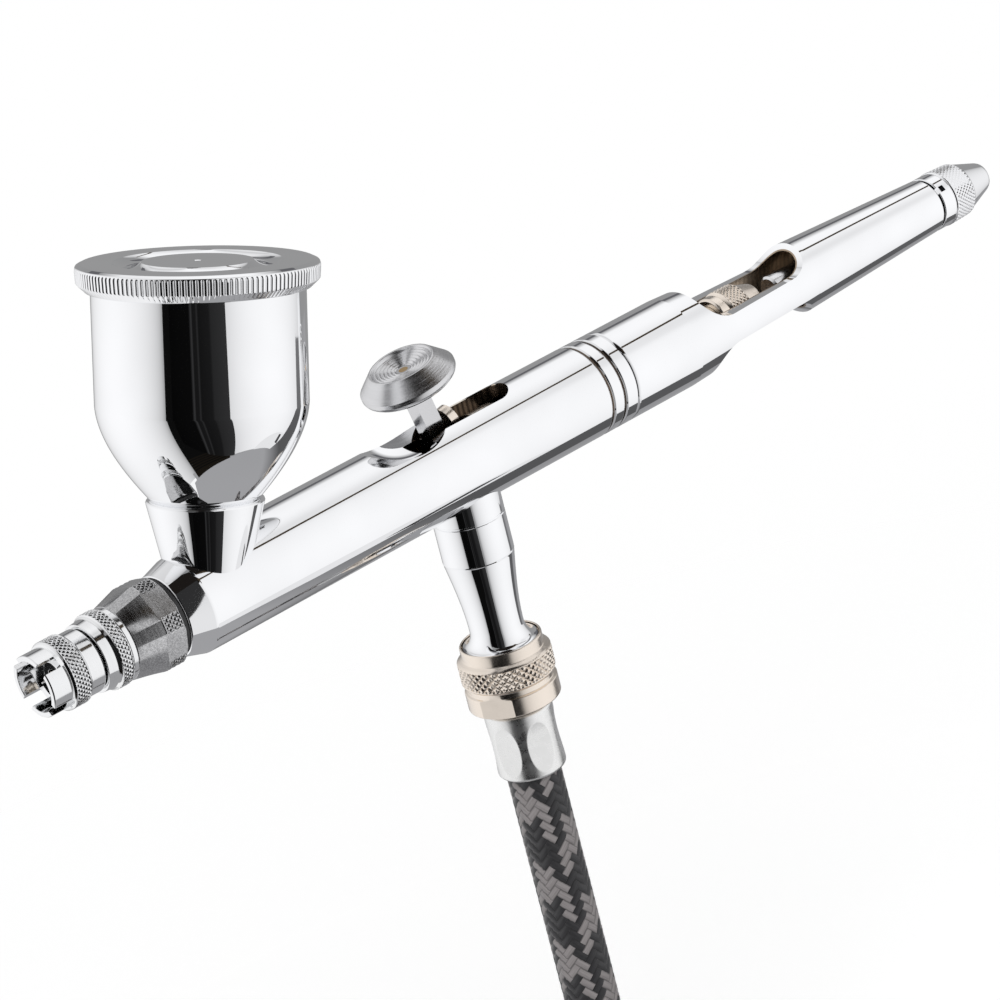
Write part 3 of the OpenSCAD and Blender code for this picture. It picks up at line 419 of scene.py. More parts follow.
def bezier(a, b, c, d, count):
    a, b, c, d = (np.array(p) for p in (a, b, c, d))
    steps = [k / count for k in range(count + 1)]
    return [tuple((1 - t) ** 3 * a + 3 * t * (1 - t) ** 2 * b + 3 * t * t * (1 - t) * c + t ** 3 * d)
            for t in steps]


def rounded(points, radius):
    """A closed outline with its corners rounded."""
    result = []
    for i, point in enumerate(points):
        here = Vector(point)
        before, after = Vector(points[i - 1]) - here, Vector(points[(i + 1) % len(points)]) - here
        cut = min(radius, 0.45 * before.length, 0.45 * after.length)
        start, end = here + before.normalized() * cut, here + after.normalized() * cut
        for t in (0.0, 0.25, 0.5, 0.75, 1.0):
            result.append(tuple((1 - t) ** 2 * start + 2 * t * (1 - t) * here + t * t * end))
    return result


def dense(outline, low, high, step):
    """More points along the stretches of an outline that lie between two places on its axis."""
    result = []
    for a, b in sides(outline):
        inside = min(a[0], b[0]) >= low - 1e-6 and max(a[0], b[0]) <= high + 1e-6
        parts = math.ceil(math.dist(a, b) / step) if inside else 1
        result += [a] + [between(a, b, k, parts) for k in range(1, parts)]
    return result


def braced(outline):
    """An outline with a point close to each end of its long stretches, so shading bends only at corners."""
    result = []
    for a, b in sides(outline):
        result.append(a)
        length = math.dist(a, b)
        if length > 6 * NEAR:
            result += [between(a, b, t) for t in (NEAR / length, 1 - NEAR / length)]
    return result


def revolve(node, word, outline, place, around, shader, shape=None, body="root", sharp=SHARP):
    """Turn a closed outline of (axial, radius) points; shape(axial, angle, radius) may change the radius."""
    outline = braced(outline)
    angle = np.arange(around) * math.tau / around
    axial, radius, turn = np.broadcast_arrays(*np.array(outline).T[:, :, None], angle)
    if shape is not None:
        radius = shape(axial, turn, radius)
    points = np.stack([radius * np.cos(turn), radius * np.sin(turn), axial], -1).reshape(-1, 3) * MM
    area = sum(a[0] * b[1] - b[0] * a[1] for a, b in sides(outline))
    order = (0, 3, 2, 1) if area > 0 else (1, 2, 3, 0)
    faces = [tuple(f[k] for k in order) for f in ring_faces(len(outline), around, True)]
    return add_piece(f"{node}_{word}", points, faces, body, shader, (node,), sharp, place)


def wave(value):
    """Triangle wave from 0 to 1 and back over each whole step."""
    return 1.0 - np.abs((value % 1.0) * 2.0 - 1.0)


def knurl(low, high, count, pitch, depth, fade=0.15):
    """Diamond knurl between two places on the axis, cut into the radius and fading at its edges."""

    def shape(axial, turn, radius):
        left = wave(turn * count / math.tau + axial / pitch)
        right = wave(turn * count / math.tau - axial / pitch)
        height = np.minimum(np.minimum(left, right) * 1.5, 1.0)
        edge = np.clip(np.minimum(axial - low, high - axial) / fade, 0.0, 1.0)
        return radius - depth * (1.0 - height) * edge

    return shape


def flats(turn, first, count):
    """The angle from the middle of the nearest flat."""
    step = math.tau / count
    return (turn - first + step / 2) % step - step / 2


# Solids that are joined to a piece or cut out of it
def cut_by(target, *cutters, added=()):
    """Join solids to a piece, cut others out of it, and keep the result as its mesh."""
    cutters = tuple(added) + cutters
    for k, cutter in enumerate(cutters):
        step = target.modifiers.new("cut", "BOOLEAN")
        step.operation = "UNION" if k < len(added) else "DIFFERENCE"
        step.solver = "EXACT"
        step.object = cutter
    bpy.context.view_layer.update()
    graph = bpy.context.evaluated_depsgraph_get()
    mesh = bpy.data.meshes.new_from_object(target.evaluated_get(graph), depsgraph=graph)
    target.modifiers.clear()
    mesh.name = target.data.name + "_cut"
    target.data = mesh
    mesh.set_sharp_from_angle(angle=math.radians(SHARP))
    for cutter in cutters:
        bpy.data.objects.remove(cutter)


def cutter_of(points, faces, place):
    return add_mesh("cutter", [[v * MM for v in p] for p in points], faces, None, place, True)


def turned_solid(rows, place, around=180):
    """A solid of revolution from (axial, radius) points, with flat ends."""
    turns = [math.tau * k / around for k in range(around)]
    points = [(r * math.cos(a), r * math.sin(a), h) for h, r in rows for a in turns]
    faces = ring_faces(len(rows), around)
    if rows[0][0] > rows[-1][0]:
        faces = [f[::-1] for f in faces]
    return cutter_of(points, faces, place)


def prism(flat, half, place):
    """A flat outline, counter-clockwise, made solid by its half thickness to each side."""
    points = [(x, y, z) for z in (-half, half) for x, y in flat]
    return cutter_of(points, ring_faces(2, len(flat)), place)


def box_at(size, place):
    x, y, z = (v / 2 for v in size)
    return prism([(-x, -y), (x, -y), (x, y), (-x, y)], z, place)


def arc(x, y, r, start, end, count):
    return [(x + r * math.cos(a), y + r * math.sin(a)) for a in np.linspace(start, end, count)]


# Hose
def hose_route():
    """The hose's middle line: straight down, a quarter turn, the coil, and out to the far fitting."""
    points = [Vector((VALVE_X, 0, HOSE_TOP + (TOP_Z + BEND_R - HOSE_TOP) * k / 20)) for k in range(20)]
    for k in range(18):
        a = math.radians(90.0 * k / 18)
        down = Vector((VALVE_X, 0, TOP_Z + BEND_R - BEND_R * math.sin(a)))
        points.append(down + BEND_R * (1 - math.cos(a)) * AHEAD)
    for k in range(COIL_TURNS * 72):
        turn = k / 72
        middle = turn - COIL_TURNS / 2
        r = COIL_IN + COIL_PITCH * abs(middle)
        drop = min(max(middle * 2 + 0.5, 0), 1)
        a = math.radians(AHEAD_TURN + 270.0 + 360.0 * turn)
        z = TOP_Z - COIL_PITCH * drop
        points.append(Vector((COIL_CENTRE.x + r * math.cos(a), COIL_CENTRE.y + r * math.sin(a), z)))
    for along, rise in END_ROUTE:
        points.append(COIL_START + along * AHEAD + Vector((0, 0, LOW_Z + rise)))
    return np.array(points)


def travelled(line):
    """How far along a line each of its points is."""
    return np.concatenate([[0], np.cumsum(np.linalg.norm(np.diff(line, axis=0), axis=1))])


def smooth_route(points, step):
    """Even points along the route, with its corners eased."""
    run = travelled(points)
    even = np.linspace(0, run[-1], int(run[-1] / step) + 1)
    line = np.stack([np.interp(even, run, points[:, i]) for i in range(3)], -1)
    ends = line[:3].copy(), line[-3:].copy()
    for _ in range(30):
        line[1:-1] = 0.25 * line[:-2] + 0.5 * line[1:-1] + 0.25 * line[2:]
    line[:3], line[-3:] = ends
    return line


STRAND_RISE = 0.16


def make_hose():
    """A tube along the route whose strands stand up, with the braid's coordinates."""
    line = smooth_route(hose_route(), 0.5)
    run = travelled(line) * MM
    around = 48
    tangent = np.gradient(line, axis=0)
    tangent /= np.linalg.norm(tangent, axis=1)[:, None]
    side = np.array(BESIDE)
    turn = np.arange(around) * math.tau / around
    rings = []
    for here, way, far in zip(line, tangent, run):
        side = side - way * side.dot(way)
        side /= np.linalg.norm(side)
        other = np.cross(way, side)
        left = BRAID_COUNT * (turn / math.tau + far / BRAID_PITCH)
        right = BRAID_COUNT * (turn / math.tau - far / BRAID_PITCH)
        over = (np.floor(left) + np.floor(right)) % 4 < 2
        bulge = np.sin(math.pi * (np.where(over, left, right) % 1))
        r = (HOSE_R - STRAND_RISE + STRAND_RISE * np.sqrt(bulge))[:, None]
        rings.append(here + r * (np.cos(turn)[:, None] * side + np.sin(turn)[:, None] * other))
    made = add_piece("hose_braided", np.concatenate(rings) * MM, ring_faces(len(line), around), "root",
                     hose_braid, ("hose_lead", "hose_coil", "hose_end"), 180.0)
    uvs = []
    for v0, v1 in zip(run, run[1:]):
        for k in range(around):
            u0, u1 = k / around, (k + 1) / around
            uvs += [u0, v0, u1, v0, u1, v1, u0, v1]
    uvs += [0.0, 0.0] * (2 * around)
    made.data.uv_layers.new(name="braid").data.foreach_set("uv", uvs)
    return made, line, float(run[-1])


hose, hose_line, hose_length = make_hose()


# Spray head
FRONT_X = -80.4
HEAD_X = FRONT_X - 0.8
CAP_X = HEAD_X - 6.8
CROWN_X = CAP_X - 4.2
TIP_X = CROWN_X - 7.8
HEAD_TURN = math.radians(46.0)
HEAD_FLAT = 5.55


def make_needle_cap():
    """Crown with four slots and a knurled ring."""
    end = CROWN_X - 0.15
    ring, ring_end = TIP_X + 3.0, TIP_X + 5.2
    outline = [(TIP_X, 3.3), (TIP_X, 3.9), (TIP_X + 0.15, 4.0), (ring - 0.35, 4.0), (ring - 0.3, 4.25),
               (ring, 4.5), (ring_end, 4.5), (ring_end + 0.3, 4.15), (end - 0.2, 4.15), (end, 3.95),
               (end, 3.3)]
    outline = dense(rounded(outline, 0.1), ring, ring_end, 0.055)
    cap = revolve("needle_cap", "knurled", outline, ON_BODY, 528, head_steel,
                  knurl(ring + 0.05, ring_end - 0.05, 44, 0.74, 0.17))
    at_tip = Matrix.Translation((TIP_X, 0, 0))
    turns = [Matrix.Rotation(math.radians(turn), 4, "X") for turn in (45.0, 135.0)]
    cut_by(cap, *(box_at((5.6, 1.6, 20.0), turn @ at_tip) for turn in turns))


def make_air_cap():
    ring_end = CAP_X - 0.7
    ring = ring_end - 1.8
    nose = TIP_X + 2.9
    outline = [(nose, 0.95), (nose, 1.9), (CROWN_X - 2.9, 3.27), (CROWN_X, 3.27), (CROWN_X, 4.45),
               (ring - 0.35, 4.58), (ring, 4.8), (ring + 0.15, 5.0), (ring_end - 0.15, 5.0), (ring_end, 4.8),
               (ring_end + 0.05, 4.85), (CAP_X, 4.85), (CAP_X, 3.63), (CAP_X - 2.95, 3.63),
               (CAP_X - 3.9, 2.75)]
    outline = dense(rounded(outline, 0.08), ring + 0.1, ring_end - 0.1, 0.055)
    revolve("air_cap", "knurled", outline, ON_BODY, 576, head_steel,
            knurl(ring + 0.1, ring_end - 0.1, 48, 0.72, 0.16))


def make_head():
    """Cone with six wrench flats; the band behind them is knurled between the flats."""
    band = HEAD_X - 2.8
    outline = [(CAP_X, 1.2), (CAP_X, 4.85), (band - 0.1, 5.95), (band, 6.0), (HEAD_X - 0.3, 6.0),
               (HEAD_X, 5.7), (HEAD_X, 4.2), (FRONT_X + 2.2, 4.2), (FRONT_X + 2.2, 1.95),
               (FRONT_X + 4.3, 1.95), (FRONT_X + 4.3, 1.2)]
    outline = dense(rounded(outline, 0.08), CAP_X + 1.0, HEAD_X, 0.07)
    diamonds = knurl(band + 0.05, HEAD_X - 0.3, 56, 0.74, 0.15)

    def shape(axial, turn, radius):
        radius = diamonds(axial, turn, radius)
        flat = HEAD_FLAT / np.cos(flats(turn, HEAD_TURN, 6))
        cut = (axial >= HEAD_X - 5.3) & (axial < HEAD_X + 0.01) & (radius > 4.3)
        return np.where(cut, np.minimum(radius, flat), radius)

    revolve("head", "knurled", outline, ON_BODY, 672, head_dark, shape)


make_needle_cap()
make_air_cap()
make_head()


# Barrel, handle and valve body
JOINT_X = -6.0
BODY_R = 6.35
DISH = (VALVE_X - 7.0, 11.4, 8.0)
SLOT_X = (VALVE_X - 5.2, VALVE_X + 10.4)
SLOT_R = 2.8
GROOVE = ((-0.4, 0.0), (-0.32, 0.03), (-0.2, 0.14), (-0.1, 0.17), (0.1, 0.17), (0.2, 0.14), (0.32, 0.03),
          (0.4, 0.0))
# Painted shade in the bores: the barrel's inner brass is made far darker than the handle's, as less light
# reaches into it.
barrel_chrome = bored("barrel_chrome", 6.2, -46.0, JOINT_X, (0.05, 0.038, 0.03), (0.17, 0.13, 0.10), DISH)
handle_chrome = bored("handle_chrome", 4.3, JOINT_X, 35.0, (0.34, 0.27, 0.20), (0.46, 0.37, 0.28))


def make_barrel():
    """Barrel with its two bosses, bores, trigger slot, thumb dish and turned lines."""
    lines = [(at + x, BODY_R - deep) for at in (JOINT_X - 4.4, JOINT_X - 2.2) for x, deep in GROOVE]
    outline = [(FRONT_X, 1.98), (FRONT_X, 5.23), (FRONT_X + 0.06, 5.33), (FRONT_X + 0.14, 5.40),
               (FRONT_X + 3.2, BODY_R - 0.03), (FRONT_X + 3.45, BODY_R), *lines, (JOINT_X - 0.12, BODY_R),
               (JOINT_X, BODY_R - 0.1), (JOINT_X, 1.98)]
    outline = dense(braced(outline), FRONT_X + 3.4, JOINT_X - 4.7, 3.1)
    barrel = revolve("barrel", "polished", outline, ON_BODY, 420, barrel_chrome)
    boss = turned_solid([(-3.0, 4.75), (-7.55, 4.75), (-7.62, 4.70), (-7.66, 4.63), (-7.84, 4.63),
                         (-7.88, 4.70), (-7.95, 4.75), (-13.08, 4.75), (-13.2, 4.66)], BELOW, 240)
    cup_boss = turned_solid([(3.0, 5.2), (11.35, 7.22), (11.5, 7.25), (11.7, 7.17), (11.82, 7.02),
                             (11.85, 6.9)], ON_CUP, 300)
    x, z, r = DISH
    ball = [(-r * math.cos(a), r * math.sin(a)) for a in np.linspace(0.02, math.pi - 0.02, 90)]
    slot = arc(SLOT_X[1] - SLOT_R, 0, SLOT_R, -math.pi / 2, math.pi / 2, 48)
    slot += arc(SLOT_X[0] + SLOT_R, 0, SLOT_R, math.pi / 2, 1.5 * math.pi, 48)
    cut_by(barrel,
           turned_solid([(FRONT_X - 1, 4.23), (FRONT_X + 3.8, 4.23)], ON_BODY),
           turned_solid([(JOINT_X - 32.4, 4.6), (JOINT_X + 1, 4.6)], ON_BODY),
           turned_solid([(JOINT_X - 5, 5.33), (JOINT_X + 1, 5.33)], ON_BODY),
           turned_solid([(-2.5, 3.05), (-10.6, 3.05)], BELOW),
           turned_solid([(-10.6, 3.68), (-15, 3.68)], BELOW),
           turned_solid([(7.6, 4.6), (15, 4.6)], ON_CUP),
           prism(slot, 3.5, Matrix.Translation((0, 0, 6.3))),
           turned_solid(ball, Matrix.Translation((x, 0, z))),
           added=(boss, cup_boss))


def make_handle():
    """Handle with its window, cut through from above and below."""
    waist_x, end = 30.1, 56.6
    outline = [(JOINT_X - 4.7, 4.75), (JOINT_X - 4.7, 5.3), (JOINT_X, 5.3), (JOINT_X, 6.05),
               (JOINT_X + 0.15, 6.2), (JOINT_X + 0.5, BODY_R), (6.0, BODY_R), (waist_x, 5.03),
               (end - 0.15, 3.93), (end - 0.04, 3.88), (end, 3.78), (end, 1.95), (37.1, 1.95), (35.1, 4.1),
               (5.4, 4.1), (4.8, 4.75)]
    handle = revolve("handle", "polished", outline, ON_BODY, 420, handle_chrome)
    low, r, run, above = 1.97, 4.45, 12.0, 14.0
    x0 = 13.65
    x1 = x0 + run
    flat = arc(x0, low + r, r, math.pi, 1.5 * math.pi, 40) + arc(x1, low + r, r, -math.pi / 2, 0.0, 40)
    flat += [(x1 + r, above), (x0 - r, above)]
    upright = Matrix.Rotation(math.pi / 2, 4, "X")
    cut_by(handle, prism(flat, 9.0, upright), prism(flat, 9.0, Matrix.Rotation(math.pi, 4, "X") @ upright))


def make_valve_body():
    top, neck, flange, neck_h, flange_h = 4.75, 3.6, 5.05, 23.4, 25.6
    taper = bezier((-13.2, top), (-16.6, top - 0.55), (3.4 - neck_h, neck), (-neck_h, neck), 48)
    flare = [(-neck_h - (flange_h - neck_h) * math.sin(a), neck + (flange - neck) * (1 - math.cos(a)))
             for a in np.linspace(0.04, math.pi / 2 - 0.03, 24)]
    outline = [(-10.6, 1.25), (-10.6, 3.65), (-13.2, 3.65), (-13.2, 4.66), (-13.3, 4.745), *taper[1:],
               *flare, (-flange_h - 0.1, flange), (-26.2, flange), (-26.2, 4.86), (-31.6, 4.86),
               (-32.0, 4.46), (-32.0, 2.9), (-22.0, 2.9), (-22.0, 1.25)]
    revolve("valve_body", "polished", outline, BELOW, 240, chrome)


make_barrel()
make_handle()
make_valve_body()


# Cup and lid
CUP_R = 12.95
CUP_WALL = 0.8
RIM_H = 39.2
SHOULDER_H = 23.5
FOOT_H = 12.15
LID_TEETH = 140


def make_cup():
    bowl = bezier((FOOT_H, 6.95), (FOOT_H + 3.45, 9.9), (SHOULDER_H - 3.9, CUP_R - 0.25),
                  (SHOULDER_H, CUP_R), 64)
    inside = [(h + CUP_WALL / 2, r - CUP_WALL) for h, r in bowl]
    foot = rounded([(7.7, 2.4), (7.7, 4.57), (FOOT_H - 0.3, 4.57), (FOOT_H - 0.3, 6.6)], 0.05)[5:]
    rim = [(RIM_H - 0.15, CUP_R), (RIM_H - 0.04, CUP_R - 0.06), (RIM_H, CUP_R - 0.2),
           (RIM_H, CUP_R - CUP_WALL + 0.2), (RIM_H - 0.15, CUP_R - CUP_WALL)]
    outline = [(7.7, 2.4), *foot, *bowl, *rim, *inside[::-1], (FOOT_H + 0.1, 2.4)]
    revolve("cup", "polished", outline, ON_CUP, 256, chrome)


def make_lid():
    """Lid with a reeded edge, a turned trough and a vent in the middle."""
    top, under = RIM_H + 1.55, RIM_H + 0.05
    low, inner, outer = top - 3.4, CUP_R + 0.05, 14.75
    sweep, mid, depth = 2.3, 8.5, 0.8
    reach = math.acos((sweep - depth) / sweep)
    half = sweep * math.sin(reach)
    trough = [(top - depth + sweep * (1 - math.cos(a)), mid + sweep * math.sin(a))
              for a in np.linspace(reach, -reach, 33)]
    edge = rounded([(under, inner), (low, inner), (low + 0.1, inner + 0.6), (low + 1.1, outer - 0.1),
                    (top - 0.75, outer), (top - 0.3, outer - 0.12), (top, outer - 0.75),
                    (top, mid + half + 0.4)], 0.1)[5:-5]
    outline = [(under, 0.4), (under, mid - half - 0.8), (under - 0.5, mid - half * 0.5),
               (under - 0.5, mid + half * 0.5), (under, mid + half + 0.8), *edge, *trough, (top, 0.55),
               (top - 0.1, 0.4)]
    outline = dense(outline, low + 0.3, top - 0.3, 0.12)

    def teeth(axial, turn, radius):
        crest = np.clip(wave(turn * LID_TEETH / math.tau) * 1.9, 0.0, 1.0) ** 0.6
        edge = np.clip(np.minimum(axial - (low + 0.95), (top - 0.42) - axial) / 0.12, 0.0, 1.0)
        return np.where(radius > outer - 0.9, radius - 0.26 * (1.0 - crest) * edge, radius)

    revolve("cup_lid", "reeded", outline, ON_CUP, LID_TEETH * 10, chrome, teeth, "lid")


make_cup()
make_lid()


# Trigger button
def make_button():
    """Turned button: a bright rounded rim, a brushed cone and a dish with stepped rings."""
    rim, low = 18.6, 15.85
    top = rim + 2.3
    outline = [(low, 1.03), (low, 2.1), (rim - 1.1, 5.75), (rim - 0.75, 6.2), (rim - 0.35, 6.4),
               (rim + 0.2, 6.4), (rim + 0.35, 6.25), (top - 0.06, 4.46), (top, 4.38), (top, 4.12),
               (top - 0.18, 4.0)]
    dish = []
    for k in range(6):
        r = 3.95 - 0.48 * k
        h = top - 0.32 - 0.10 * k
        dish += [(h, r), (h - 0.14, r - 0.12), (h - 0.15, r - 0.2), (h - 0.02, r - 0.3), (h + 0.01, r - 0.4)]
    outline = [*rounded(outline, 0.09), *dish, (top - 0.9, 1.03)]
    revolve("trigger_button", "turned", outline, ON_TRIGGER, 256, button_steel, None,
            "trigger", 40.0)


make_button()


# Hose fittings
NUT_TURN = math.radians(-152.0)
NUT_FLAT = 5.75
CRIMP_TURN = math.radians(17.0)


def make_nut(node, place, body):
    """Nut with a knurled band, and a ring with two flats behind it."""
    outer, floor, depth = 6.3, 7.9, 9.4
    rim = outer - 0.8
    outline = [(0, 5.2), (0, rim - 0.15), (-0.15, rim), (-1.6, rim), (-1.9, outer - 0.3), (-2.15, outer),
               (-5.0, outer), (-5.25, outer - 0.3), (-5.4, outer - 0.5), (-6.1, outer - 0.5),
               (-6.3, outer - 0.1), (0.7 - depth, outer - 0.1), (-depth, 4.7), (-depth, 3.0), (-floor, 3.0),
               (-floor, 5.21), (-6.4, 5.21), (-6.4, 4.91), (-1.1, 4.91), (-1.1, 5.2)]
    outline = dense(dense(rounded(outline, 0.12), -5.05, -2.1, 0.07), -depth, -6.2, 0.1)
    diamonds = knurl(-5.0, -2.15, 37, 1.02, 0.24, 0.2)

    def shape(axial, turn, radius):
        radius = diamonds(axial, turn, radius)
        flat = NUT_FLAT / np.maximum(np.cos(flats(turn, NUT_TURN, 2)), 0.2)
        ring = (axial < -5.6) & (radius > 5.3)
        return np.where(ring, np.minimum(radius, flat), radius)

    revolve(node, "knurled", outline, place, 518, champagne, shape, body)


def make_ferrule(node, place):
    """Crimped ferrule: six shield-shaped flats."""
    top, low, floor = -9.6, -19.0, -11.7
    outline = [(top, 2.13), (top, 4.3), (top - 0.3, 4.6), (low + 0.3, 4.6), (low, 4.35), (low, 3.75),
               (floor, 3.75), (floor, 2.13)]
    outline = dense(rounded(outline, 0.25), low, top - 0.05, 0.12)

    def shape(axial, turn, radius):
        away = (axial - (top + low) / 2 + 0.3) / 3.6
        flat = (4.24 + 0.36 * np.abs(away) ** 2.2) / np.cos(flats(turn, CRIMP_TURN, 6))
        return np.where(radius > 4.0, np.minimum(radius, flat), radius)

    revolve(node, "crimped", outline, place, 360, satin, shape, "root", 26.0)


make_nut("hose_nut", ON_VALVE, "nut")
make_nut("far_nut", ON_FAR, "far")
make_ferrule("hose_ferrule", ON_VALVE)
make_ferrule("far_ferrule", ON_FAR)


# Chuck nut and preset knob
def make_chuck():
    start = 13.85
    band, end = start + 1.9, start + 8.2
    band_end = band + 3.3
    outline = [(start, 2.23), (start, 2.95), (start + 0.3, 3.2), (band - 0.4, 3.2), (band - 0.25, 2.95),
               (band, 3.2), (band + 0.2, 3.45), (band_end - 0.2, 3.45), (band_end, 3.15), (end - 0.3, 2.35),
               (end, 2.05), (end, 0.65), (start + 4.45, 0.65), (start + 4.45, 2.23)]
    outline = dense(rounded(outline, 0.08), band, band_end, 0.055)
    revolve("chuck_nut", "knurled", outline, ON_BODY, 480, champagne,
            knurl(band + 0.15, band_end - 0.15, 32, 0.66, 0.17), "needle_set")


def make_knob():
    """Knob with a knurled band, a pointed end and a notch in its front ring."""
    start, end, floor = 57.0, 68.6, 63.65
    band = start + 2.4
    band_end = band + 3.8
    outline = [(start, 1.95), (start, 3.83), (start + 0.1, 3.93), (band - 0.25, 3.93), (band - 0.1, 3.85),
               (band, 4.0), (band + 0.1, 4.05), (band_end, 3.9), (band_end + 0.2, 3.7), (end - 0.6, 2.2),
               (end - 0.2, 2.0), (end, 1.7), (end, 0.02), (floor, 0.02), (floor, 1.95)]
    outline = dense(rounded(outline, 0.12), band + 0.05, band_end + 0.05, 0.06)
    knob = revolve("preset_knob", "knurled", outline, ON_BODY, 528, chrome,
                   knurl(band + 0.1, band_end, 44, 0.72, 0.15), "knob")
    notch = Matrix.Rotation(math.radians(-40.0), 4, "X") @ Matrix.Translation((start + 0.6, -3.9, 0))
    cut_by(knob, box_at((1.4, 0.9, 0.9), notch))


make_chuck()
make_knob()


# Strap round the coil
STRAP_WIDE = 26.5
STRAP_HIGH = 15.95
STRAP_CORNER = 3.5
STRAP_HALF = 6.0
STRAP_THICK = 1.0
STRAP_GAP = 0.08


def strap_line():
    """Points and outward directions round the strap's loop, from the middle of its top."""
    x, y, r = STRAP_WIDE / 2 - STRAP_CORNER, STRAP_HIGH / 2 - STRAP_CORNER, STRAP_CORNER
    line = [(Vector((u, y + r)), Vector((0, 1))) for u in np.linspace(0, x, 12)]
    for centre, start in (((x, y), 90), ((x, -y), 0), ((-x, -y), -90), ((-x, y), 180)):
        for turn in np.radians(np.linspace(start, start - 90, 15)):
            way = Vector((math.cos(turn), math.sin(turn)))
            line.append((Vector(centre) + r * way, way))
    line += [(Vector((u, y + r)), Vector((0, 1))) for u in np.linspace(-x, 0, 12)[1:-1]]
    return line


def strap_band(line, thick, closed):
    """Sweep the strap's flat section along a line: points as (out, up, across) and faces."""
    edge, half = 0.3, STRAP_HALF
    section = [(-half, edge), (edge - half, 0.0), (half - edge, 0.0), (half, edge), (half, thick - edge),
               (half - edge, thick), (0.0, thick + 0.06), (edge - half, thick), (-half, thick - edge)]
    points = [(*(at + way * n), w) for at, way in line for w, n in section]
    return points, ring_faces(len(line), len(section), closed)


def make_strap():
    """Woven strap in a rounded loop, its free end laid over itself."""
    middle = COIL_CENTRE + BESIDE * (COIL_IN + COIL_PITCH * COIL_TURNS / 4)
    middle.z = (TOP_Z + LOW_Z) / 2
    loop = strap_line()
    points, faces = strap_band(loop, STRAP_THICK, True)
    over = [(at + way * (STRAP_THICK + STRAP_GAP), way) for at, way in loop]
    more, more_faces = strap_band(over[-26:] + over[:22], STRAP_THICK * 0.8, False)
    faces += [tuple(v + len(points) for v in f) for f in more_faces]
    points += more
    world = [(middle + BESIDE * u + Vector((0, 0, v)) + AHEAD * w) * MM for u, v, w in points]
    add_piece("hose_strap", world, faces, "root", strap_black, ("hose_tie",), 50.0)


make_strap()


# Springs
def make_spring(part):
    """A spring drawn from its solid."""
    name, letter = part["node"], part["mode"][-1]
    along = "xyz".index(letter)
    solid = nodes[name]
    spots = [tuple(round(c, 7) for c in solid.matrix_world @ v.co) for v in solid.data.vertices]
    order = {spot: i for i, spot in enumerate(dict.fromkeys(spots))}
    faces = [tuple(order[spots[i]] for i in p.vertices) for p in solid.data.polygons]
    low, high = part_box(name)
    anchor = [(a + b) / 2 for a, b in zip(low, high)]
    anchor[along] = part[f"fixed_end_{letter}_m"]
    made = add_piece(name + "_wire", list(order), faces, "root", bright_steel, (name,), 40.0)
    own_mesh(made)


for joint in frame["record"]["behaviour"]["joints"]:
    for part in joint.get("deforming_nodes", ()):
        make_spring(part)


# Finish of the solids that keep their own shape
FINISH = (
    (champagne, "aux_lever"),
    (stem_chrome, "trigger_stem"),
    (bright_steel, "trigger_pin needle stop_rod"),
    (nozzle_nickel, "nozzle needle_guide spring_case packing_screw hose_tail far_tail"),
    (nozzle_nickel, "valve_plunger valve_screw"),
    (seal_white, "needle_packing"),
    (seal_rubber, "head_seal rod_ring valve_packing valve_seal hose_washer far_washer"),
)
for shader, names in FINISH:
    for name in names.split():
        nodes[name].data.materials.clear()
        nodes[name].data.materials.append(shader.material)


# Studio, in metres: cards seen only in reflections, the world, a floor and a lamp
CARD_MIDDLE = Vector((-0.03, 0.0, 0.0))
CARD_R = 2.6
CARD_STEP = 2.0


def emission(name, colour):
    """A glowing material of a plain colour, or of what colour(tree) makes from nodes."""
    material = bpy.data.materials.new(name)
    tree = Nodes(material, True)
    tint = colour(tree) if callable(colour) else (*colour, 1.0)
    glow = tree.node("Emission", {"Color": tint})
    tree.node("OutputMaterial", {"Surface": glow.outputs[0]})
    return material


def ramp_material(name, axis, span, stops):
    """Emission whose tone runs along one axis of the card."""

    def colour(tree):
        at = tree.parts(tree.place())[axis]
        ramp = tree.node("ValToRGB", {0: tree.range(at, 0.0, 1.0, *span)})
        held = ramp.color_ramp.elements
        for k, (place, tone) in enumerate(stops):
            stop = held[k] if k < 2 else held.new(place)
            stop.position = place
            stop.color = (tone, tone, tone * 1.03, 1.0)
        return ramp.outputs[0]

    return emission(name, colour)


def held_tone(tree):
    return tree.node("Attribute", attribute_name="tone").outputs["Color"]


def stage_card(name, points, faces, material):
    """A mesh that only reflections see."""
    made = add_mesh(name, points, faces, material)
    for ray in ("camera", "diffuse", "shadow", "transmission"):
        setattr(made, "visible_" + ray, False)
    return made


def flat_card(name, corners, material):
    stage_card(name, corners, [tuple(range(len(corners)))], material)


def direction(az, el):
    a, e = math.radians(az), math.radians(el)
    return Vector((math.sin(a) * math.cos(e), -math.cos(a) * math.cos(e), math.sin(e)))


def ball_card(name, az, el, tone, radius=CARD_R):
    """A patch of a large ball round the object, with one tone or tone(azimuth, elevation)."""
    across, up = (max(2, round((end - start) / CARD_STEP)) for start, end in (az, el))
    spots = [(a, e) for e in np.linspace(*el, up + 1) for a in np.linspace(*az, across + 1)]
    points = [CARD_MIDDLE + radius * direction(a, e) for a, e in spots]
    row = across + 1
    firsts = [i * row + k for i in range(up) for k in range(across)]
    faces = [(m, m + 1, m + row + 1, m + row) for m in firsts]
    made = stage_card(name, points, faces, emission(name, held_tone))
    tones = [(*(tone(a, e) if callable(tone) else tone), 1.0) for a, e in spots]
    layer = made.data.color_attributes.new("tone", "FLOAT_COLOR", "POINT")
    layer.data.foreach_set("color", np.ravel(tones))


def level_corners(x, y, z):
    return [(x[0], y[0], z), (x[1], y[0], z), (x[1], y[1], z), (x[0], y[1], z)]


def disc(x, y, z, r, count):
    return [(u, v, z) for u, v in arc(x, y, r, 0.0, math.tau, count + 1)[:-1]]


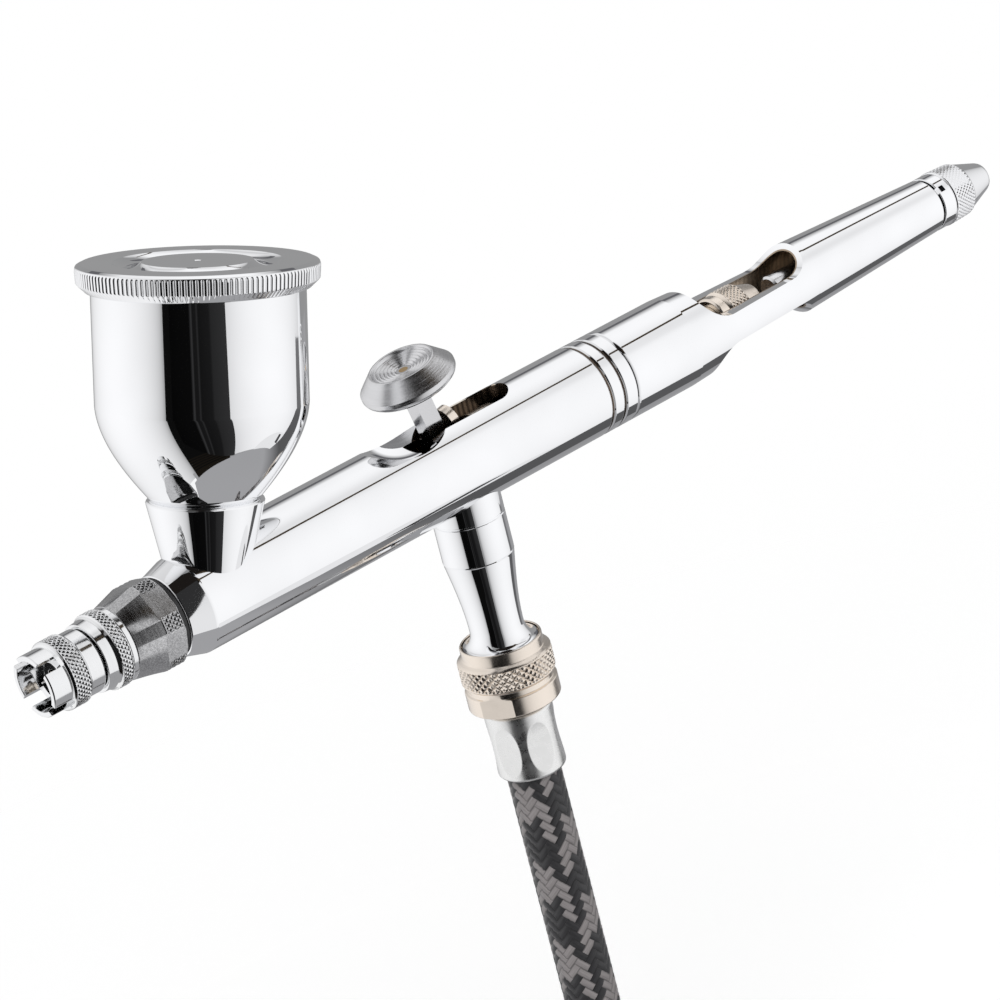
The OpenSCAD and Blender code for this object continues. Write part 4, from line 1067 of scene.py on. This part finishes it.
BACKDROP_X = (0.5, 9.0)
BACKDROP_Y = (-0.528, 7.2)
BACKDROP_Z = -2.4


def make_backdrop():
    """Dark ground behind the object, paler further back."""
    stops = [(0.0, 0.04), (1.0, 0.95), (0.105, 0.045), (0.21, 0.30), (0.6, 0.34)]
    corners = level_corners(BACKDROP_X, BACKDROP_Y, BACKDROP_Z)
    flat_card("card_ground", corners, ramp_material("card_ground", 1, BACKDROP_Y, stops))


GROUND_MIDDLE = (-0.060, -0.012)
GROUND_R = 0.089
GROUND_X = (-0.164, 0.28)
GROUND_Z = -0.1268
BACK_X = (0.04, 0.28)
BACK_Y = (0.025, 0.17)
BACK_Z = -0.1264
COIL_CARD_R = 0.063
COIL_CARD_Z = -0.1276


def make_near_ground():
    """Ground close under the object, which also keeps the coil out of reflections."""
    x, y = GROUND_MIDDLE
    edge = arc(x, y, GROUND_R, -math.pi, -math.pi / 6, 31)
    edge = [(-0.08, 0.03), (-0.12, 0.006), *edge, (0.06, -0.045), (0.28, -0.033), (0.28, 0.17),
            (-0.03, 0.17)]
    stops = [(0.0, 0.36), (1.0, 0.18), (0.37, 0.36), (0.47, 0.095), (0.73, 0.11)]
    flat_card("card_near_ground", [(u, v, GROUND_Z) for u, v in edge],
              ramp_material("card_near_ground", 0, GROUND_X, stops))
    flat_card("card_near_back", level_corners(BACK_X, BACK_Y, BACK_Z),
              ramp_material("card_near_back", 1, BACK_Y, [(0.0, 0.30), (1.0, 0.36)]))
    round_coil = disc(COIL_CENTRE.x * MM, COIL_CENTRE.y * MM, COIL_CARD_Z, COIL_CARD_R, 64)
    flat_card("card_coil", round_coil, emission("card_coil", (0.84, 0.84, 0.85)))


SEAM_Z = 0.3
SEAM = ((0.030, -0.215, 0.075), (0.085, -0.175, 0.038), (0.112, -0.161, 0.015), (0.172, -0.136, 0.011),
        (0.210, -0.109, 0.011), (0.420, 0.105, 0.013))


def make_seam():
    """Gap between the front softbox and the one overhead, by its middle line and half its width."""
    points = []
    for k, (x, y, half) in enumerate(SEAM):
        before, after = SEAM[max(k - 1, 0)], SEAM[min(k + 1, len(SEAM) - 1)]
        along = Vector((after[0] - before[0], after[1] - before[1])).normalized()
        side = Vector((along.y, -along.x)) * half
        points += [(x + side.x, y + side.y, SEAM_Z), (x - side.x, y - side.y, SEAM_Z)]
    faces = [(2 * k, 2 * k + 1, 2 * k + 3, 2 * k + 2) for k in range(len(SEAM) - 1)]
    stage_card("card_seam", points, faces, emission("card_seam", (0.06, 0.045, 0.03)))


NEAR_X = (-0.36, -0.088)
NEAR_Y = -0.126
NEAR_Z = (-0.17, 0.21)


def make_near_card():
    """Dark upright card in front of the nose, with a few pale lines in it."""
    stops = [(0.0, 0.002), (1.0, 0.030), (0.60, 0.003), (0.635, 0.036), (0.655, 0.008), (0.70, 0.009),
             (0.715, 0.024), (0.735, 0.007), (0.85, 0.010), (0.87, 0.020)]
    corners = [(x, NEAR_Y, z) for x, z, _ in level_corners(NEAR_X, NEAR_Z, 0.0)]
    flat_card("card_near", corners, ramp_material("card_near", 0, NEAR_X, stops))


def lobe(turn, middle, half, power):
    """Brightness of a softbox, falling off towards its edges."""
    away = abs((turn - middle + 180.0) % 360.0 - 180.0) / half
    return max(math.cos(min(away, 1.0) * math.pi / 2), 0.0) ** power


def eased(value, start, width):
    return min(max((value - start) / width, 0.0), 1.0)


def room_tone(az, el):
    """Two softboxes at the sides, a grey backdrop behind and a third softbox overhead."""
    level = max(lobe(az, 42.0, 62.0, 0.25), lobe(az, -137.0, 62.0, 0.25), 0.30)
    level *= 1.04 - 0.07 * ((el + 5.0) / 45.0) ** 2
    over = 0.62 + 0.40 * lobe(az, 114.0, 62.0, 0.6)
    level += (over - level) * eased(el, 27.0, 11.0) * eased(az, 45.0, 25.0)
    return level, level, level * 1.01


def below_tone(az, el):
    level = 0.34 + 0.10 * lobe(az, 120.0, 90.0, 1.0)
    return level, level, level * 1.02


def make_cards():
    ball_card("card_room", (-180, 180), (-60, 89.5), room_tone, CARD_R + 0.4)
    ball_card("card_black", (-75, -24), (-57, 30), (0.004, 0.004, 0.004))
    ball_card("card_black_over", (-75, 40), (52, 89.5), (0.012, 0.010, 0.009))
    ball_card("card_black_low", (-75, -17), (-75, -46), (0.010, 0.008, 0.006))
    ball_card("card_below", (-80, 150), (-89.5, -57), below_tone, CARD_R + 0.2)
    ball_card("card_line", (118, 165), (20, 27), (0.13, 0.13, 0.14), CARD_R + 0.1)
    make_near_card()
    make_near_ground()
    make_backdrop()
    make_seam()


WORLD_LIGHT = 0.55


def make_world():
    """White where the camera or a reflection sees it, and a plain light otherwise."""
    scene.world = bpy.data.worlds.new("studio")
    tree = Nodes(scene.world, True)
    path = tree.node("LightPath").outputs
    seen = path["Is Camera Ray"]
    for other in ("Is Glossy Ray", "Is Transmission Ray"):
        seen = tree.math("MAXIMUM", seen, path[other])
    skies = [{"Color": (1, 1, 1, 1), "Strength": level} for level in (WORLD_LIGHT, 1.0)]
    plain, white = (tree.node("Background", sky).outputs[0] for sky in skies)
    both = tree.node("MixShader", {0: seen, 1: plain, 2: white}).outputs[0]
    tree.node("OutputWorld", {"Surface": both})


FLOOR_PLACE = (-0.01, -0.03, -0.1454)
FLOOR_R = 0.42
FLOOR_FADE = (0.12, 0.40)
FLOOR_GLOW = 0.35


def make_floor():
    """A pale round floor under the coil that fades into the white ground and keeps the shadow."""
    material = bpy.data.materials.new("floor_paper")
    tree = Nodes(material, True)
    reach = tree.node("VectorMath", {0: tree.place()}, operation="LENGTH").outputs["Value"]
    fade = tree.range(reach, 0.0, 1.0, *FLOOR_FADE, interpolation_type="SMOOTHSTEP")
    paper = tree.node("BsdfDiffuse", {"Color": (0.9, 0.9, 0.9, 1.0)}).outputs[0]
    seen = tree.node("LightPath").outputs["Is Camera Ray"]
    level = tree.math("MULTIPLY", seen, FLOOR_GLOW)
    glow = tree.node("Emission", {"Strength": level}).outputs[0]
    lit = tree.node("AddShader", {0: paper, 1: glow}).outputs[0]
    clear = tree.node("BsdfTransparent").outputs[0]
    both = tree.node("MixShader", {0: fade, 1: lit, 2: clear}).outputs[0]
    tree.node("OutputMaterial", {"Surface": both})
    corners = disc(0.0, 0.0, 0.0, FLOOR_R, 96)
    floor = add_mesh("floor", corners, [tuple(range(len(corners)))], material)
    floor.location = FLOOR_PLACE
    floor.visible_glossy = False


def make_lamp():
    data = bpy.data.lights.new("softbox", "AREA")
    data.shape = "RECTANGLE"
    data.size, data.size_y = 0.9, 0.7
    data.energy = 6.0
    lamp = bpy.data.objects.new("softbox", data)
    lamp.location = (-0.5, -0.7, 0.9)
    lamp.rotation_euler = (-lamp.location).to_track_quat("-Z", "Y").to_euler()
    lamp.visible_glossy = False
    scene.collection.objects.link(lamp)


make_cards()
make_world()
make_floor()
make_lamp()
